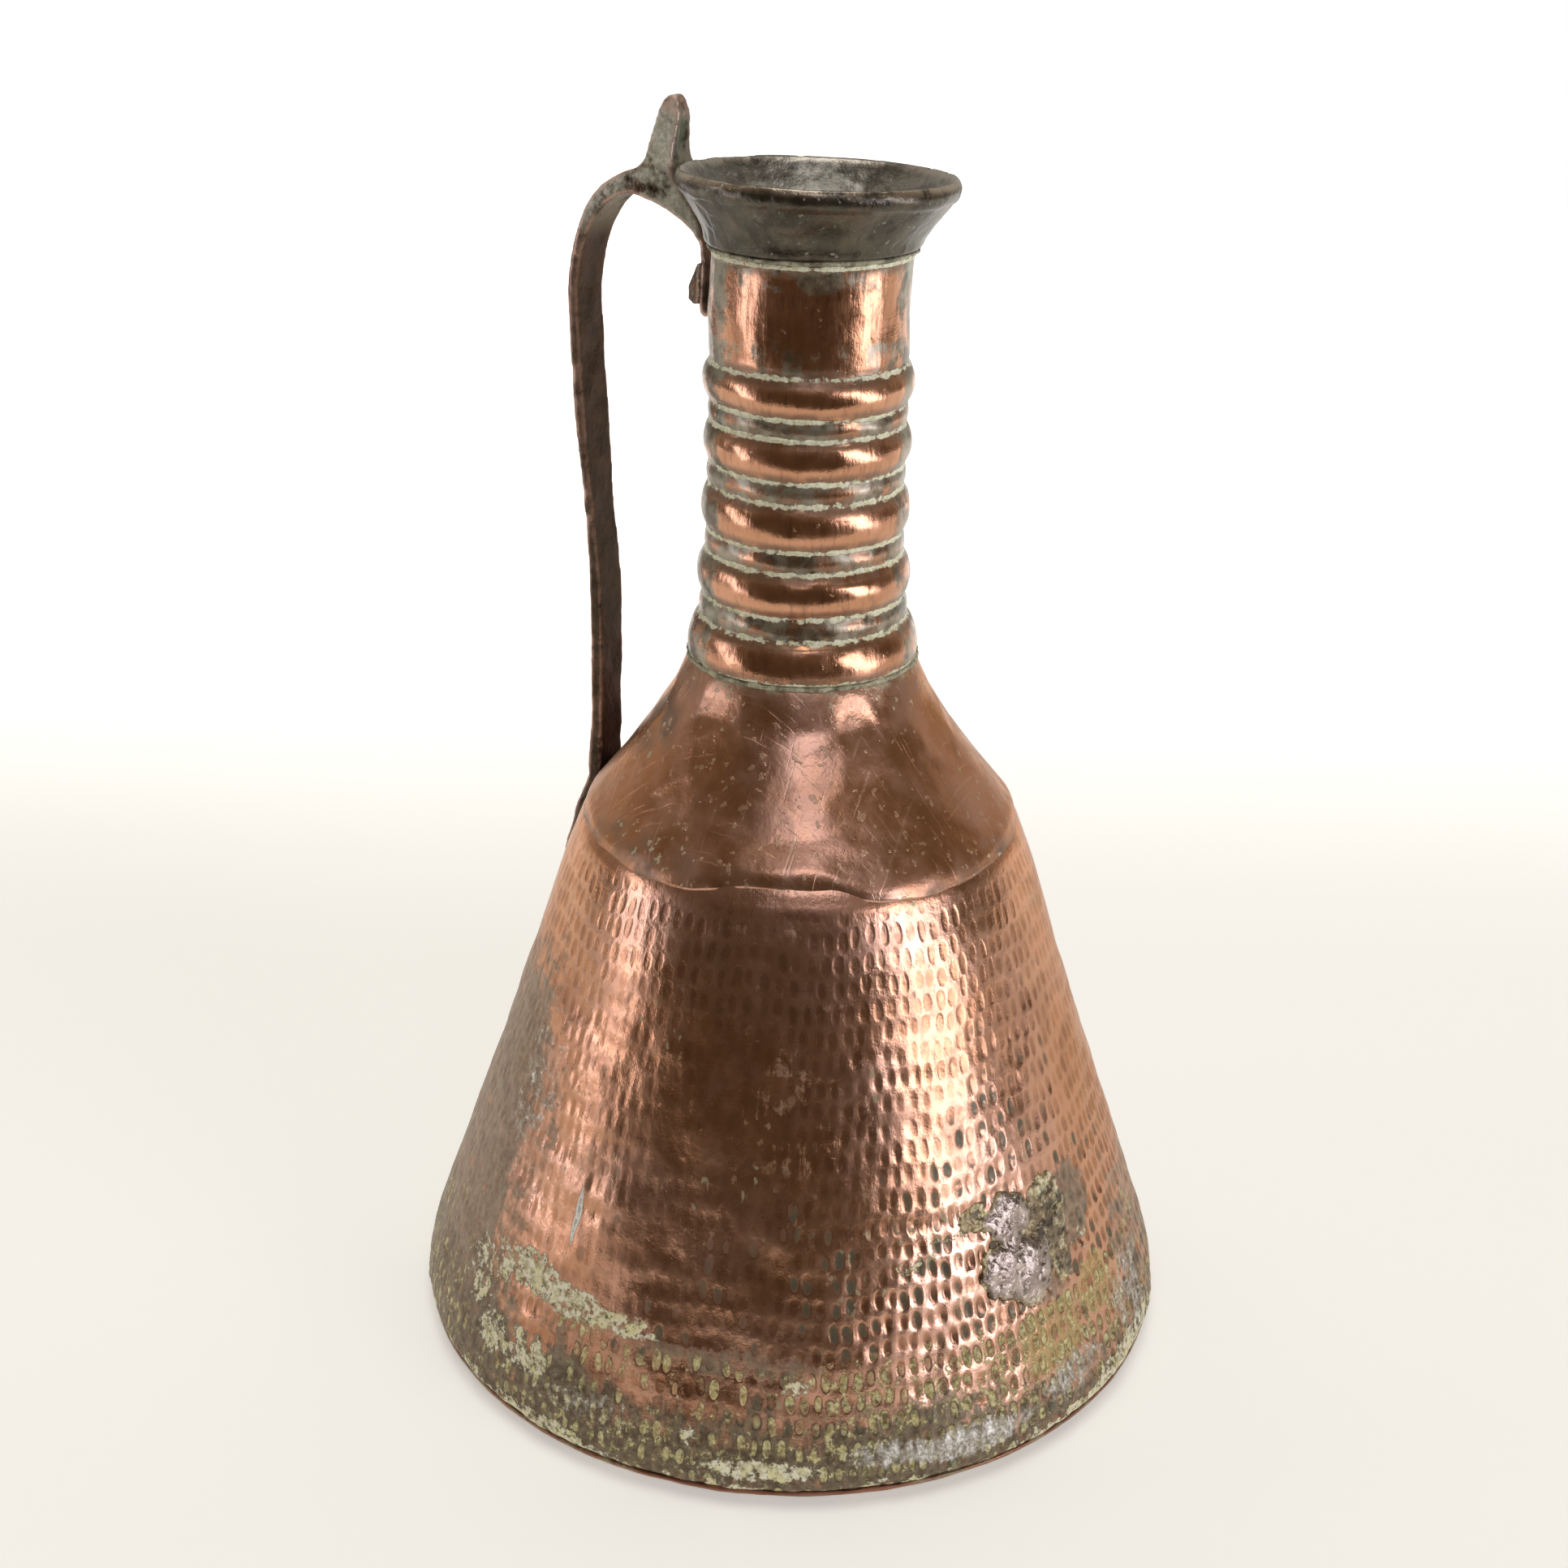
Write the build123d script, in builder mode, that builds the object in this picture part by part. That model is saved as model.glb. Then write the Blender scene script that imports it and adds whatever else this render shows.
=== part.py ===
from build123d import *
import math
import os

# Long-necked copper water jug. Millimetres, +Z up.
# Origin: centre of the bottom, on the surface the jug stands on.
# The handle is in the XZ plane, on the -X side.

os.makedirs("parts", exist_ok=True)

# ---------------------------------------------------------------- dimensions
sheet_t = 1.4            # sheet copper of wall, shoulder and neck
pan_t = 1.5              # sheet copper of the bottom

# bottom
pan_flat_r = 112.0       # flat contact disc
pan_edge_r = 143.2       # where the dished margin ends
pan_edge_z = 4.6         # lift of the margin at its edge
flange_in_r = 130.0      # inner edge of the wall's turned-in foot
flange_out_r = 141.2

# body wall, outside radius by height
wall_foot = (144.2, 9.4)
wall_low = (143.0, 17.0)
wall_50 = (132.0, 50.0)
wall_130 = (104.1, 130.0)
wall_182 = (87.5, 182.0)
wall_top = (80.95, 199.0)

# shoulder, outside radius by height
lip_low = (80.9, 200.2)
lip_bend = (78.9, 205.3)
shoulder_220 = (66.9, 220.0)
shoulder_235 = (56.0, 235.0)
shoulder_250 = (46.3, 250.0)
shoulder_261 = (41.2, 261.5)
shoulder_lap = 13.0      # how far the wall's top runs under the shoulder

# neck
neck_foot_in = (39.4, 264.4)      # inside corner of the neck's lower edge
neck_foot_out = (40.8, 264.8)
neck_band_in = (37.25, 276.4)
neck_band_out = (38.6, 277.2)
neck_flange_share = 0.85          # height of the shoulder's collar in the band
neck_r = 34.0                     # plain neck, outside
neck_plain_z = 371.5
neck_top_z = 411.5
# grooves and the crests between them, from the bottom up
grooves = [(36.4, 279.1), (35.4, 287.0), (34.4, 302.6), (34.1, 310.2), (33.8, 326.4),
           (33.7, 333.9), (33.5, 348.4), (33.5, 355.2), (33.7, 368.8)]
crests = [(36.9, 283.0), (37.7, 294.8), (35.1, 306.4), (36.5, 318.3), (34.7, 330.1),
          (36.0, 341.2), (34.5, 351.8), (36.3, 362.0)]

# mouth collar
collar_z0 = 407.2
throat_r = 31.6
throat_z1 = 415.0
rim_z = 430.0
solder_leg = 1.9

# handle
handle_half_w = 9.75     # half width of the strap at the arch
tongue_outer_s = 38.4    # distance of the tongue's outer face from the neck's axis
neck_rivet_z = 390.5
neck_rivet_r = 2.6
foot_rivet_r = 2.5
foot_rivet_z = (191.0, 171.0)     # height of each foot rivet on the wall's outside
foot_pad_t = (4.6, 4.0)           # pad thickness at each foot rivet
rove_r = 5.5
rove_t = 1.4

# repair
patch_azimuth = -25.7    # degrees from +X
patch_t = 1.9


# ------------------------------------------------------------------- helpers
def inset(points, t):
    """Polyline moved by t to its left-hand side, going up the outside of a wall."""
    normals = []
    for (x0, z0), (x1, z1) in zip(points, points[1:]):
        d = math.hypot(x1 - x0, z1 - z0)
        normals.append(((z1 - z0) / d, -(x1 - x0) / d))
    moved = []
    for i, (x, z) in enumerate(points):
        if i == 0:
            nx, nz = normals[0]
            k = t
        elif i == len(points) - 1:
            nx, nz = normals[-1]
            k = t
        else:
            ax, az = normals[i - 1]
            bx, bz = normals[i]
            nx, nz = ax + bx, az + bz
            length = math.hypot(nx, nz)
            nx, nz = nx / length, nz / length
            k = t / (nx * ax + nz * az)
        moved.append((x - k * nx, z - k * nz))
    return moved


def along(a, b, share):
    return (a[0] + share * (b[0] - a[0]), a[1] + share * (b[1] - a[1]))


def wall_r(z):
    """Outside radius of the body wall."""
    line = [wall_low, wall_50, wall_130, wall_182, wall_top]
    for (r0, z0), (r1, z1) in zip(line, line[1:]):
        if z <= z1:
            return r0 + (r1 - r0) * (z - z0) / (z1 - z0)
    return wall_top[0]


def wall_normal(z):
    """Outward normal (away from the axis, up) of the body wall."""
    r0, r1 = wall_r(z - 0.5), wall_r(z + 0.5)
    d = math.hypot(r1 - r0, 1.0)
    return 1.0 / d, (r0 - r1) / d


def handle_plane(s, z, ns, nz):
    """Plane at distance s from the axis on the handle side, facing (ns outward, nz up)."""
    return Plane(origin=(-s, 0, z), x_dir=(0, 1, 0), z_dir=(-ns, 0, nz))


# ------------------------------------------------------------------ base pan
pan_slope = math.atan2(pan_edge_z, pan_edge_r - pan_flat_r)
pan_up = (-pan_t * math.sin(pan_slope), pan_t * math.cos(pan_slope))
pan_top_edge = (pan_edge_r + pan_up[0], pan_edge_z + pan_up[1])


def pan_top_z(r):
    return pan_top_edge[1] - (pan_top_edge[0] - r) * math.tan(pan_slope)


pan_inner_r = pan_top_edge[0] - (pan_top_edge[1] - pan_t) / math.tan(pan_slope)

with BuildPart() as base_pan:
    with BuildSketch(Plane.XZ) as base_pan_sk:
        with BuildLine() as base_pan_ln:
            Polyline((0, 0), (pan_flat_r, 0), (pan_edge_r, pan_edge_z))
            ThreePointArc((pan_edge_r, pan_edge_z),
                          (pan_edge_r + 0.62, pan_edge_z + 0.85), pan_top_edge)
            Polyline(pan_top_edge, (pan_inner_r, pan_t), (0, pan_t), (0, 0))
        make_face()
    revolve(axis=Axis.Z)
base_pan.part.label = "base_pan"
export_step(base_pan.part, "parts/base_pan.step")

# ------------------------------------------------------------- shoulder dome
flange_top = along(neck_foot_in, neck_band_in, neck_flange_share)
shoulder_out = [lip_low, lip_bend, shoulder_220, shoulder_235, shoulder_250,
                shoulder_261, neck_foot_in, flange_top]
shoulder_in = inset(shoulder_out, sheet_t)
with BuildPart() as shoulder_dome:
    with BuildSketch(Plane.XZ):
        with BuildLine():
            Polyline(*shoulder_out, *reversed(shoulder_in), close=True)
        make_face()
    revolve(axis=Axis.Z)
shoulder_dome.part.label = "shoulder_dome"
export_step(shoulder_dome.part, "parts/shoulder_dome.step")

# ----------------------------------------------------------------- body wall
# Its foot is turned in and lies on the pan's margin; its top is joggled in
# and runs up under the shoulder.
lap_len = math.hypot(shoulder_220[0] - lip_bend[0], shoulder_220[1] - lip_bend[1])
lap_end = along(shoulder_in[1], shoulder_in[2], shoulder_lap / lap_len)
wall_out = [(flange_in_r, pan_top_z(flange_in_r)), (flange_out_r, pan_top_z(flange_out_r)),
            wall_foot, wall_low, wall_50, wall_130, wall_182, wall_top,
            shoulder_in[0], shoulder_in[1], lap_end]
wall_in = inset(wall_out, sheet_t)
with BuildPart() as body_wall:
    with BuildSketch(Plane.XZ):
        with BuildLine():
            Polyline(*wall_out, *reversed(wall_in), close=True)
        make_face()
    revolve(axis=Axis.Z)
    for rivet_z in foot_rivet_z:
        ns, nz = wall_normal(rivet_z)
        with BuildSketch(handle_plane(wall_r(rivet_z), rivet_z, ns, nz)):
            Circle(foot_rivet_r)
        extrude(amount=6, both=True, mode=Mode.SUBTRACT)
body_wall.part.label = "body_wall"
export_step(body_wall.part, "parts/body_wall.step")

# ----------------------------------------------------------------- neck tube
grooves_in = [(r - sheet_t, z) for r, z in grooves]
crests_in = [(r - sheet_t, z) for r, z in crests]
with BuildPart() as neck_tube:
    with BuildSketch(Plane.XZ):
        with BuildLine():
            Polyline(neck_foot_in, neck_foot_out, neck_band_out, grooves[0])
            for low, crest, high in zip(grooves, crests, grooves[1:]):
                ThreePointArc(low, crest, high)
            Polyline(grooves[-1], (neck_r, neck_plain_z), (neck_r, neck_top_z),
                     (neck_r - sheet_t, neck_top_z), (neck_r - sheet_t, neck_plain_z),
                     grooves_in[-1])
            for low, crest, high in zip(grooves_in, crests_in, grooves_in[1:]):
                ThreePointArc(low, crest, high)
            Polyline(grooves_in[0], neck_band_in, neck_foot_in)
        make_face()
    revolve(axis=Axis.Z)
    with BuildSketch(handle_plane(neck_r, neck_rivet_z, 1, 0)):
        Circle(neck_rivet_r)
    extrude(amount=5, both=True, mode=Mode.SUBTRACT)
neck_tube.part.label = "neck_tube"
export_step(neck_tube.part, "parts/neck_tube.step")

# -------------------------------------------------------------- mouth collar
# A casting: socket for the neck's top, a short cylindrical throat, a funnel
# and a rounded lip.
with BuildPart() as mouth_collar:
    with BuildSketch(Plane.XZ):
        with BuildLine():
            Polyline((neck_r, collar_z0), (36.0, collar_z0), (36.5, collar_z0 + 0.8))
            Spline((36.5, collar_z0 + 0.8), (37.1, 410.8), (38.9, 413.9), (41.8, 418.0),
                   (45.0, 422.7))
            ThreePointArc((45.0, 422.7), (47.3, 426.9), (45.8, rim_z))
            Polyline((45.8, rim_z), (44.8, rim_z - 0.6))
            Spline((44.8, rim_z - 0.6), (42.2, 426.0), (38.4, 421.6), (34.4, 417.8),
                   (throat_r, throat_z1))
            Polyline((throat_r, throat_z1), (throat_r, neck_top_z), (neck_r, neck_top_z),
                     (neck_r, collar_z0))
        make_face()
    revolve(axis=Axis.Z)
mouth_collar.part.label = "mouth_collar"
export_step(mouth_collar.part, "parts/mouth_collar.step")

# -------------------------------------------------------------------- handle
# Outline in the XZ plane as (distance from axis, height), then cut to width.
pads = []
for rivet_z, t, z_hi, z_lo in zip(foot_rivet_z, foot_pad_t, (199.0, 181.5), (183.5, 161.0)):
    ns, nz = wall_normal(rivet_z)
    pads.append([(wall_r(z) + ns * t, z + nz * t) for z in (z_hi, z_lo)])

strap_outer = [pads[0][0], (85.45, 207.5), (84.9, 219.6), (83.9, 233.0), (83.7, 248.0),
               (83.4, 262.0), (83.4, 278.0), (84.0, 296.6), (84.9, 314.0), (87.4, 338.0),
               (88.8, 361.0), (89.1, 373.0), (88.7, 384.5), (87.5, 396.5), (85.2, 407.0),
               (79.8, 417.6), (72.0, 424.2), (63.6, 427.6)]
strap_inner = [(80.6, 203.0), (80.3, 210.0), (79.6, 225.0), (78.7, 243.0), (78.5, 260.0),
               (78.9, 283.0), (81.6, 310.0), (84.0, 338.0), (85.3, 361.0), (85.6, 376.0),
               (85.4, 388.0), (83.8, 398.6), (80.2, 407.6), (73.6, 415.6), (66.0, 419.2),
               (58.0, 417.7), (48.6, 413.2), (43.6, 409.4), (40.6, 406.3), (38.8, 403.4)]
prong = [(63.6, 427.6), (61.3, 429.7), (59.6, 435.6), (57.8, 443.4), (56.4, 448.4),
         (54.4, 451.2), (51.6, 451.6), (49.9, 448.6), (49.9, 440.0), (50.3, 430.5)]
arm_upper = [(50.3, 430.5), (49.6, 427.2), (48.4, 424.0), (46.0, 421.4), (43.0, 417.2),
             (40.1, 413.0), (38.3, 409.8), (37.6, 406.8)]

with BuildPart() as handle:
    with BuildSketch(Plane.XZ):
        with BuildLine():
            Spline(*[(-s, z) for s, z in strap_outer])
            Spline(*[(-s, z) for s, z in prong])
            Spline(*[(-s, z) for s, z in arm_upper])
            Polyline((-37.6, 406.8), (-36.6, 404.6), (-34.9, 402.6), (-34.4, 398.4),
                     (-33.0, 396.4), (-33.0, 380.6), (-36.6, 379.8), (-37.9, 380.8),
                     (-tongue_outer_s, 382.6), (-tongue_outer_s, 399.4), (-38.8, 403.4))
            Spline(*[(-s, z) for s, z in reversed(strap_inner)])
            Polyline((-80.6, 203.0), (-79.0, 201.0), (-84.0, 182.0), (-92.0, 157.2),
                     (-96.0, 157.2), (-97.7, 159.0),
                     *[(-s, z) for s, z in reversed(pads[1])],
                     *[(-s, z) for s, z in reversed(pads[0])])
        make_face()
    extrude(amount=12, both=True)
    # widths seen from the handle side: prong, strap, foot pad
    side = [(2.6, 453.0), (3.3, 449.6), (5.0, 441.0), (7.2, 431.6), (9.2, 428.0),
            (handle_half_w, 424.0), (handle_half_w, 396.0), (9.2, 350.0), (8.5, 300.0),
            (8.1, 262.0), (7.8, 226.0), (7.9, 212.0), (9.2, 201.0), (10.6, 190.0),
            (10.6, 176.0), (9.2, 166.5), (6.0, 160.2), (2.0, 157.6)]
    with BuildSketch(Plane.YZ):
        with BuildLine():
            Polyline(*side, *[(-y, z) for y, z in reversed(side)], close=True)
        make_face()
    extrude(amount=150, both=True, mode=Mode.INTERSECT)
    # widths seen from above: tongue, arm, strap
    plan = [(-30.0, 7.1), (-44.0, 7.6), (-60.0, handle_half_w), (-64.0, 11.0), (-104.0, 11.0)]
    with BuildSketch(Plane.XY):
        with BuildLine():
            Polyline(*plan, *[(x, -y) for x, y in reversed(plan)], close=True)
        make_face()
    extrude(amount=460, mode=Mode.INTERSECT)
    # foot pad fitted to the wall, tongue fitted to the neck
    with BuildSketch(Plane.XZ):
        with BuildLine():
            Polyline((0, 140), (wall_r(140), 140), wall_182, wall_top, (81.1, 200.0),
                     (79.15, 205.4), (0, 205.4), close=True)
        make_face()
    revolve(axis=Axis.Z, mode=Mode.SUBTRACT)
    with BuildSketch(Plane.XY.offset(neck_plain_z)):
        Circle(neck_r)
    extrude(amount=34, mode=Mode.SUBTRACT)
    for rivet_z in foot_rivet_z:
        ns, nz = wall_normal(rivet_z)
        with BuildSketch(handle_plane(wall_r(rivet_z), rivet_z, ns, nz)):
            Circle(foot_rivet_r)
        extrude(amount=9, both=True, mode=Mode.SUBTRACT)
    with BuildSketch(handle_plane(neck_r, neck_rivet_z, 1, 0)):
        Circle(neck_rivet_r)
    extrude(amount=9, both=True, mode=Mode.SUBTRACT)
handle.part.label = "handle"
export_step(handle.part, "parts/handle.step")

# ---------------------------------------------------------------- neck rivet
# Wedge-shaped hammered head, shank through tongue and neck, peened tail.
head = [(tongue_outer_s, 383.9), (41.3, 383.5), (44.0, 384.9), (44.1, 388.9),
        (42.3, 393.2), (40.3, 397.4), (tongue_outer_s, 397.8)]
rove_face_s = neck_r - sheet_t - 1.7      # inner face of the rove
with BuildPart() as neck_rivet:
    with BuildSketch(Plane.XZ):
        with BuildLine():
            Polyline(*[(-s, z) for s, z in head], close=True)
        make_face()
    extrude(amount=6.2, both=True)
    # hammered-down sides of the head
    flank = [(-37.0, 6.2), (-tongue_outer_s - 1.4, 6.0), (-44.5, 3.9)]
    with BuildSketch(Plane.XY.offset(380)):
        with BuildLine():
            Polyline(*flank, *[(x, -y) for x, y in reversed(flank)], close=True)
        make_face()
    extrude(amount=20, mode=Mode.INTERSECT)
    with BuildSketch(handle_plane(rove_face_s, neck_rivet_z, 1, 0)):
        Circle(neck_rivet_r)
    extrude(amount=tongue_outer_s - rove_face_s)
    with BuildSketch(Plane.XZ):
        with BuildLine():
            Polyline((-rove_face_s, neck_rivet_z), (-rove_face_s, neck_rivet_z + 4.0),
                     (-rove_face_s + 0.5, neck_rivet_z + 3.6),
                     (-rove_face_s + 1.2, neck_rivet_z + 1.8),
                     (-rove_face_s + 1.4, neck_rivet_z), close=True)
        make_face()
    revolve(axis=Axis((0, 0, neck_rivet_z), (1, 0, 0)))
neck_rivet.part.label = "neck_rivet"
export_step(neck_rivet.part, "parts/neck_rivet.step")

with BuildPart() as neck_rivet_rove:
    with BuildSketch(handle_plane(rove_face_s, neck_rivet_z, 1, 0)):
        Circle(rove_r)
        Circle(neck_rivet_r, mode=Mode.SUBTRACT)
    extrude(amount=3)
    with BuildSketch(Plane.XY.offset(neck_rivet_z - 10)):
        Circle(neck_r - sheet_t)
    extrude(amount=20, mode=Mode.INTERSECT)
neck_rivet_rove.part.label = "neck_rivet_rove"
export_step(neck_rivet_rove.part, "parts/neck_rivet_rove.step")

# --------------------------------------------------------------- foot rivets
with BuildPart() as handle_foot_rivets:
    for rivet_z, pad_t in zip(foot_rivet_z, foot_pad_t):
        ns, nz = wall_normal(rivet_z)
        r0 = wall_r(rivet_z)
        inside = -sheet_t - rove_t
        # profile drawn in the XZ plane along the rivet's own axis
        def on_axis(along_axis, across):
            return (-(r0 + ns * along_axis - nz * across),
                    rivet_z + nz * along_axis + ns * across)
        with BuildSketch(Plane.XZ):
            with BuildLine():
                Polyline(on_axis(pad_t + 2.5, 0), on_axis(pad_t + 2.3, 1.9),
                         on_axis(pad_t + 1.5, 4.0), on_axis(pad_t, 5.3),
                         on_axis(pad_t, foot_rivet_r), on_axis(inside, foot_rivet_r),
                         on_axis(inside, 3.9), on_axis(inside - 0.6, 3.4),
                         on_axis(inside - 1.3, 1.6), on_axis(inside - 1.4, 0), close=True)
            make_face()
        revolve(axis=Axis((-r0, 0, rivet_z), (-ns, 0, nz)))
handle_foot_rivets.part.label = "handle_foot_rivets"
export_step(handle_foot_rivets.part, "parts/handle_foot_rivets.step")

with BuildPart() as handle_foot_roves:
    for rivet_z in foot_rivet_z:
        ns, nz = wall_normal(rivet_z)
        s_in = wall_r(rivet_z) - ns * (sheet_t + rove_t)
        z_in = rivet_z - nz * (sheet_t + rove_t)
        with BuildSketch(handle_plane(s_in, z_in, ns, nz)):
            Circle(rove_r)
            Circle(foot_rivet_r, mode=Mode.SUBTRACT)
        extrude(amount=rove_t + 0.4)
    # seated on the inside of the wall
    with BuildSketch(Plane.XZ):
        with BuildLine():
            Polyline(*wall_in[5:8], (wall_in[7][0] + 20, wall_in[7][1]),
                     (wall_in[5][0] + 20, wall_in[5][1]), close=True)
        make_face()
    revolve(axis=Axis.Z, mode=Mode.SUBTRACT)
handle_foot_roves.part.label = "handle_foot_roves"
export_step(handle_foot_roves.part, "parts/handle_foot_roves.step")

# -------------------------------------------------------------------- solder
flange_inner_edge = (wall_out[0], wall_in[0])
with BuildPart() as base_seam_solder:
    with BuildSketch(Plane.XZ):
        with BuildLine():
            Polyline(wall_out[0], wall_in[0],
                     (flange_in_r - 3.2, pan_top_z(flange_in_r - 3.2)), close=True)
        make_face()
    revolve(axis=Axis.Z)
base_seam_solder.part.label = "base_seam_solder"
export_step(base_seam_solder.part, "parts/base_seam_solder.step")

with BuildPart() as shoulder_seam_solder:
    beyond = along(shoulder_in[1], shoulder_in[2], (shoulder_lap + 2.8) / lap_len)
    with BuildSketch(Plane.XZ):
        with BuildLine():
            Polyline(lap_end, beyond, wall_in[-1], close=True)
        make_face()
    revolve(axis=Axis.Z)
shoulder_seam_solder.part.label = "shoulder_seam_solder"
export_step(shoulder_seam_solder.part, "parts/shoulder_seam_solder.step")

with BuildPart() as neck_seam_solder:
    with BuildSketch(Plane.XZ):
        with BuildLine():
            Polyline(neck_foot_in, shoulder_261, neck_foot_out, close=True)
        make_face()
    revolve(axis=Axis.Z)
neck_seam_solder.part.label = "neck_seam_solder"
export_step(neck_seam_solder.part, "parts/neck_seam_solder.step")

with BuildPart() as collar_seam_solder:
    with BuildSketch(Plane.XZ):
        with BuildLine():
            Polyline((neck_r, collar_z0), (neck_r + solder_leg, collar_z0),
                     (neck_r, collar_z0 - solder_leg - 0.3), close=True)
        make_face()
    revolve(axis=Axis.Z)
collar_seam_solder.part.label = "collar_seam_solder"
export_step(collar_seam_solder.part, "parts/collar_seam_solder.step")

# -------------------------------------------------------------- repair patch
# Lumpy solder plate run over the lower wall. Outline as (across, height).
patch = [(-17.5, 92.0), (-8.0, 95.5), (1.0, 90.5), (7.0, 86.0), (15.0, 89.5), (21.0, 95.0),
         (27.0, 88.0), (29.0, 74.0), (26.0, 62.0), (17.0, 57.0), (9.0, 60.5), (5.0, 54.5),
         (-5.0, 52.5), (-14.0, 57.0), (-16.5, 66.0), (-12.0, 74.0), (-17.0, 80.0)]
az = math.radians(patch_azimuth)
out_dir = (math.cos(az), math.sin(az), 0)
wn = wall_normal(75)
with BuildPart() as repair_patch:
    with BuildSketch(Plane(origin=(100 * out_dir[0], 100 * out_dir[1], 0),
                           x_dir=(-math.sin(az), math.cos(az), 0), z_dir=out_dir)):
        with BuildLine():
            Spline(*patch, periodic=True)
        make_face()
    extrude(amount=60)
    with BuildSketch(Plane.XZ):
        with BuildLine():
            Polyline(wall_50, wall_130,
                     (wall_130[0] + wn[0] * patch_t, wall_130[1] + wn[1] * patch_t),
                     (wall_50[0] + wn[0] * patch_t, wall_50[1] + wn[1] * patch_t),
                     close=True)
        make_face()
    revolve(axis=Axis.Z, mode=Mode.INTERSECT)
repair_patch.part.label = "repair_patch"
export_step(repair_patch.part, "parts/repair_patch.step")

print("height", round(handle.part.bounding_box().max.Z, 2))
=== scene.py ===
import math

import bpy
import numpy as np
from mathutils import Matrix, Vector


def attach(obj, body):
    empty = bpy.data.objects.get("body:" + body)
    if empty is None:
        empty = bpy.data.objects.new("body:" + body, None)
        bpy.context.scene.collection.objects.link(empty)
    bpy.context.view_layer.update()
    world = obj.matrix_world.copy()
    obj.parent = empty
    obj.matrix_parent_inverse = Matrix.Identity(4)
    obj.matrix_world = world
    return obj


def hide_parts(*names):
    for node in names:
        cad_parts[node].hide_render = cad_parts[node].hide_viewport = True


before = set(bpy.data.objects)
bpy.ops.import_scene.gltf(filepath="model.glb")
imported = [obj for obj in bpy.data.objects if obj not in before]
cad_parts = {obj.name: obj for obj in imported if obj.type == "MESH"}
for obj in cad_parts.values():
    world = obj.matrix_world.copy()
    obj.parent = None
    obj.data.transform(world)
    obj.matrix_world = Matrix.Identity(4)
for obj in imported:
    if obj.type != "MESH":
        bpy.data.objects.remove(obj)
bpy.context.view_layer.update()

MM = 0.001
TAU = 2 * math.pi
FRONT = math.radians(-65.0)      # direction the jug is usually seen from, from +X

# ------------------------------------------------------------------ profiles
# Outside profiles of the CAD pieces, millimetres (radius, height).
PAN = dict(flat_r=112.0, edge_r=143.2, edge_z=4.6, t=1.5)
WALL = [(144.2, 9.4), (143.0, 17.0), (132.0, 50.0), (104.1, 130.0), (87.5, 182.0), (80.95, 199.0)]
LIP = [(80.9, 200.2), (78.9, 205.3), (66.9, 220.0), (56.0, 235.0), (46.3, 250.0), (41.2, 261.5), (39.4, 264.4)]
GROOVES = [(36.4, 279.1), (35.4, 287.0), (34.4, 302.6), (34.1, 310.2), (33.8, 326.4),
           (33.7, 333.9), (33.5, 348.4), (33.5, 355.2), (33.7, 368.8)]
CRESTS = [(36.9, 283.0), (37.7, 294.8), (35.1, 306.4), (36.5, 318.3), (34.7, 330.1),
          (36.0, 341.2), (34.5, 351.8), (36.3, 362.0)]
T = 1.4


# --------------------------------------------------------------------- noise
def _hash(ix, iy, iz, seed):
    h = (ix.astype(np.uint64) * np.uint64(73856093)) ^ (iy.astype(np.uint64) * np.uint64(19349663)) \
        ^ (iz.astype(np.uint64) * np.uint64(83492791)) ^ np.uint64(seed * 2654435761 % 4294967296)
    h = (h ^ (h >> np.uint64(13))) * np.uint64(1274126177) & np.uint64(0xFFFFFFFF)
    h = (h ^ (h >> np.uint64(16))) * np.uint64(2246822519) & np.uint64(0xFFFFFFFF)
    h = (h ^ (h >> np.uint64(15))) & np.uint64(0xFFFFFFFF)
    return h.astype(np.float64) / 4294967295.0


def vnoise(p, seed=1):
    """Smooth value noise, -1..1, at points p (N,3)."""
    q = p + 4096.0
    i = np.floor(q).astype(np.int64)
    f = q - i
    w = f * f * f * (f * (f * 6 - 15) + 10)
    out = np.zeros(len(p))
    for dx in (0, 1):
        wx = w[:, 0] if dx else 1 - w[:, 0]
        for dy in (0, 1):
            wy = w[:, 1] if dy else 1 - w[:, 1]
            for dz in (0, 1):
                wz = w[:, 2] if dz else 1 - w[:, 2]
                out += wx * wy * wz * _hash(i[:, 0] + dx, i[:, 1] + dy, i[:, 2] + dz, seed)
    return out * 2 - 1


def fbm(p, octaves=3, seed=1, gain=0.5):
    total, amp, norm = np.zeros(len(p)), 1.0, 0.0
    for o in range(octaves):
        total += amp * vnoise(p * 2.0 ** o, seed + 17 * o)
        norm += amp
        amp *= gain
    return total / norm


def smooth(x, a, b):
    t = np.clip((x - a) / (b - a), 0, 1)
    return t * t * (3 - 2 * t)


def bump(x, a, b, soft):
    """1 inside a..b, falling to 0 over soft outside it."""
    return smooth(x, a - soft, a) * (1 - smooth(x, b, b + soft))


def blob(phi, z, pc, zc, pw, zw, seed=0, rough=0.35):
    """Ragged patch centred at (phi deg, z mm)."""
    d = np.hypot(wrap(phi - pc) / pw, (z - zc) / zw)
    if rough:
        pts = np.stack([wrap(phi - pc) * 0.09, z * 0.075, np.full_like(z, 3.3 + seed)], 1)
        d = d + rough * fbm(pts, 3, 50 + seed)
    return 1 - smooth(d, 0.55, 1.05)


def wrap(deg):
    return (deg + 180.0) % 360.0 - 180.0


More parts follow.
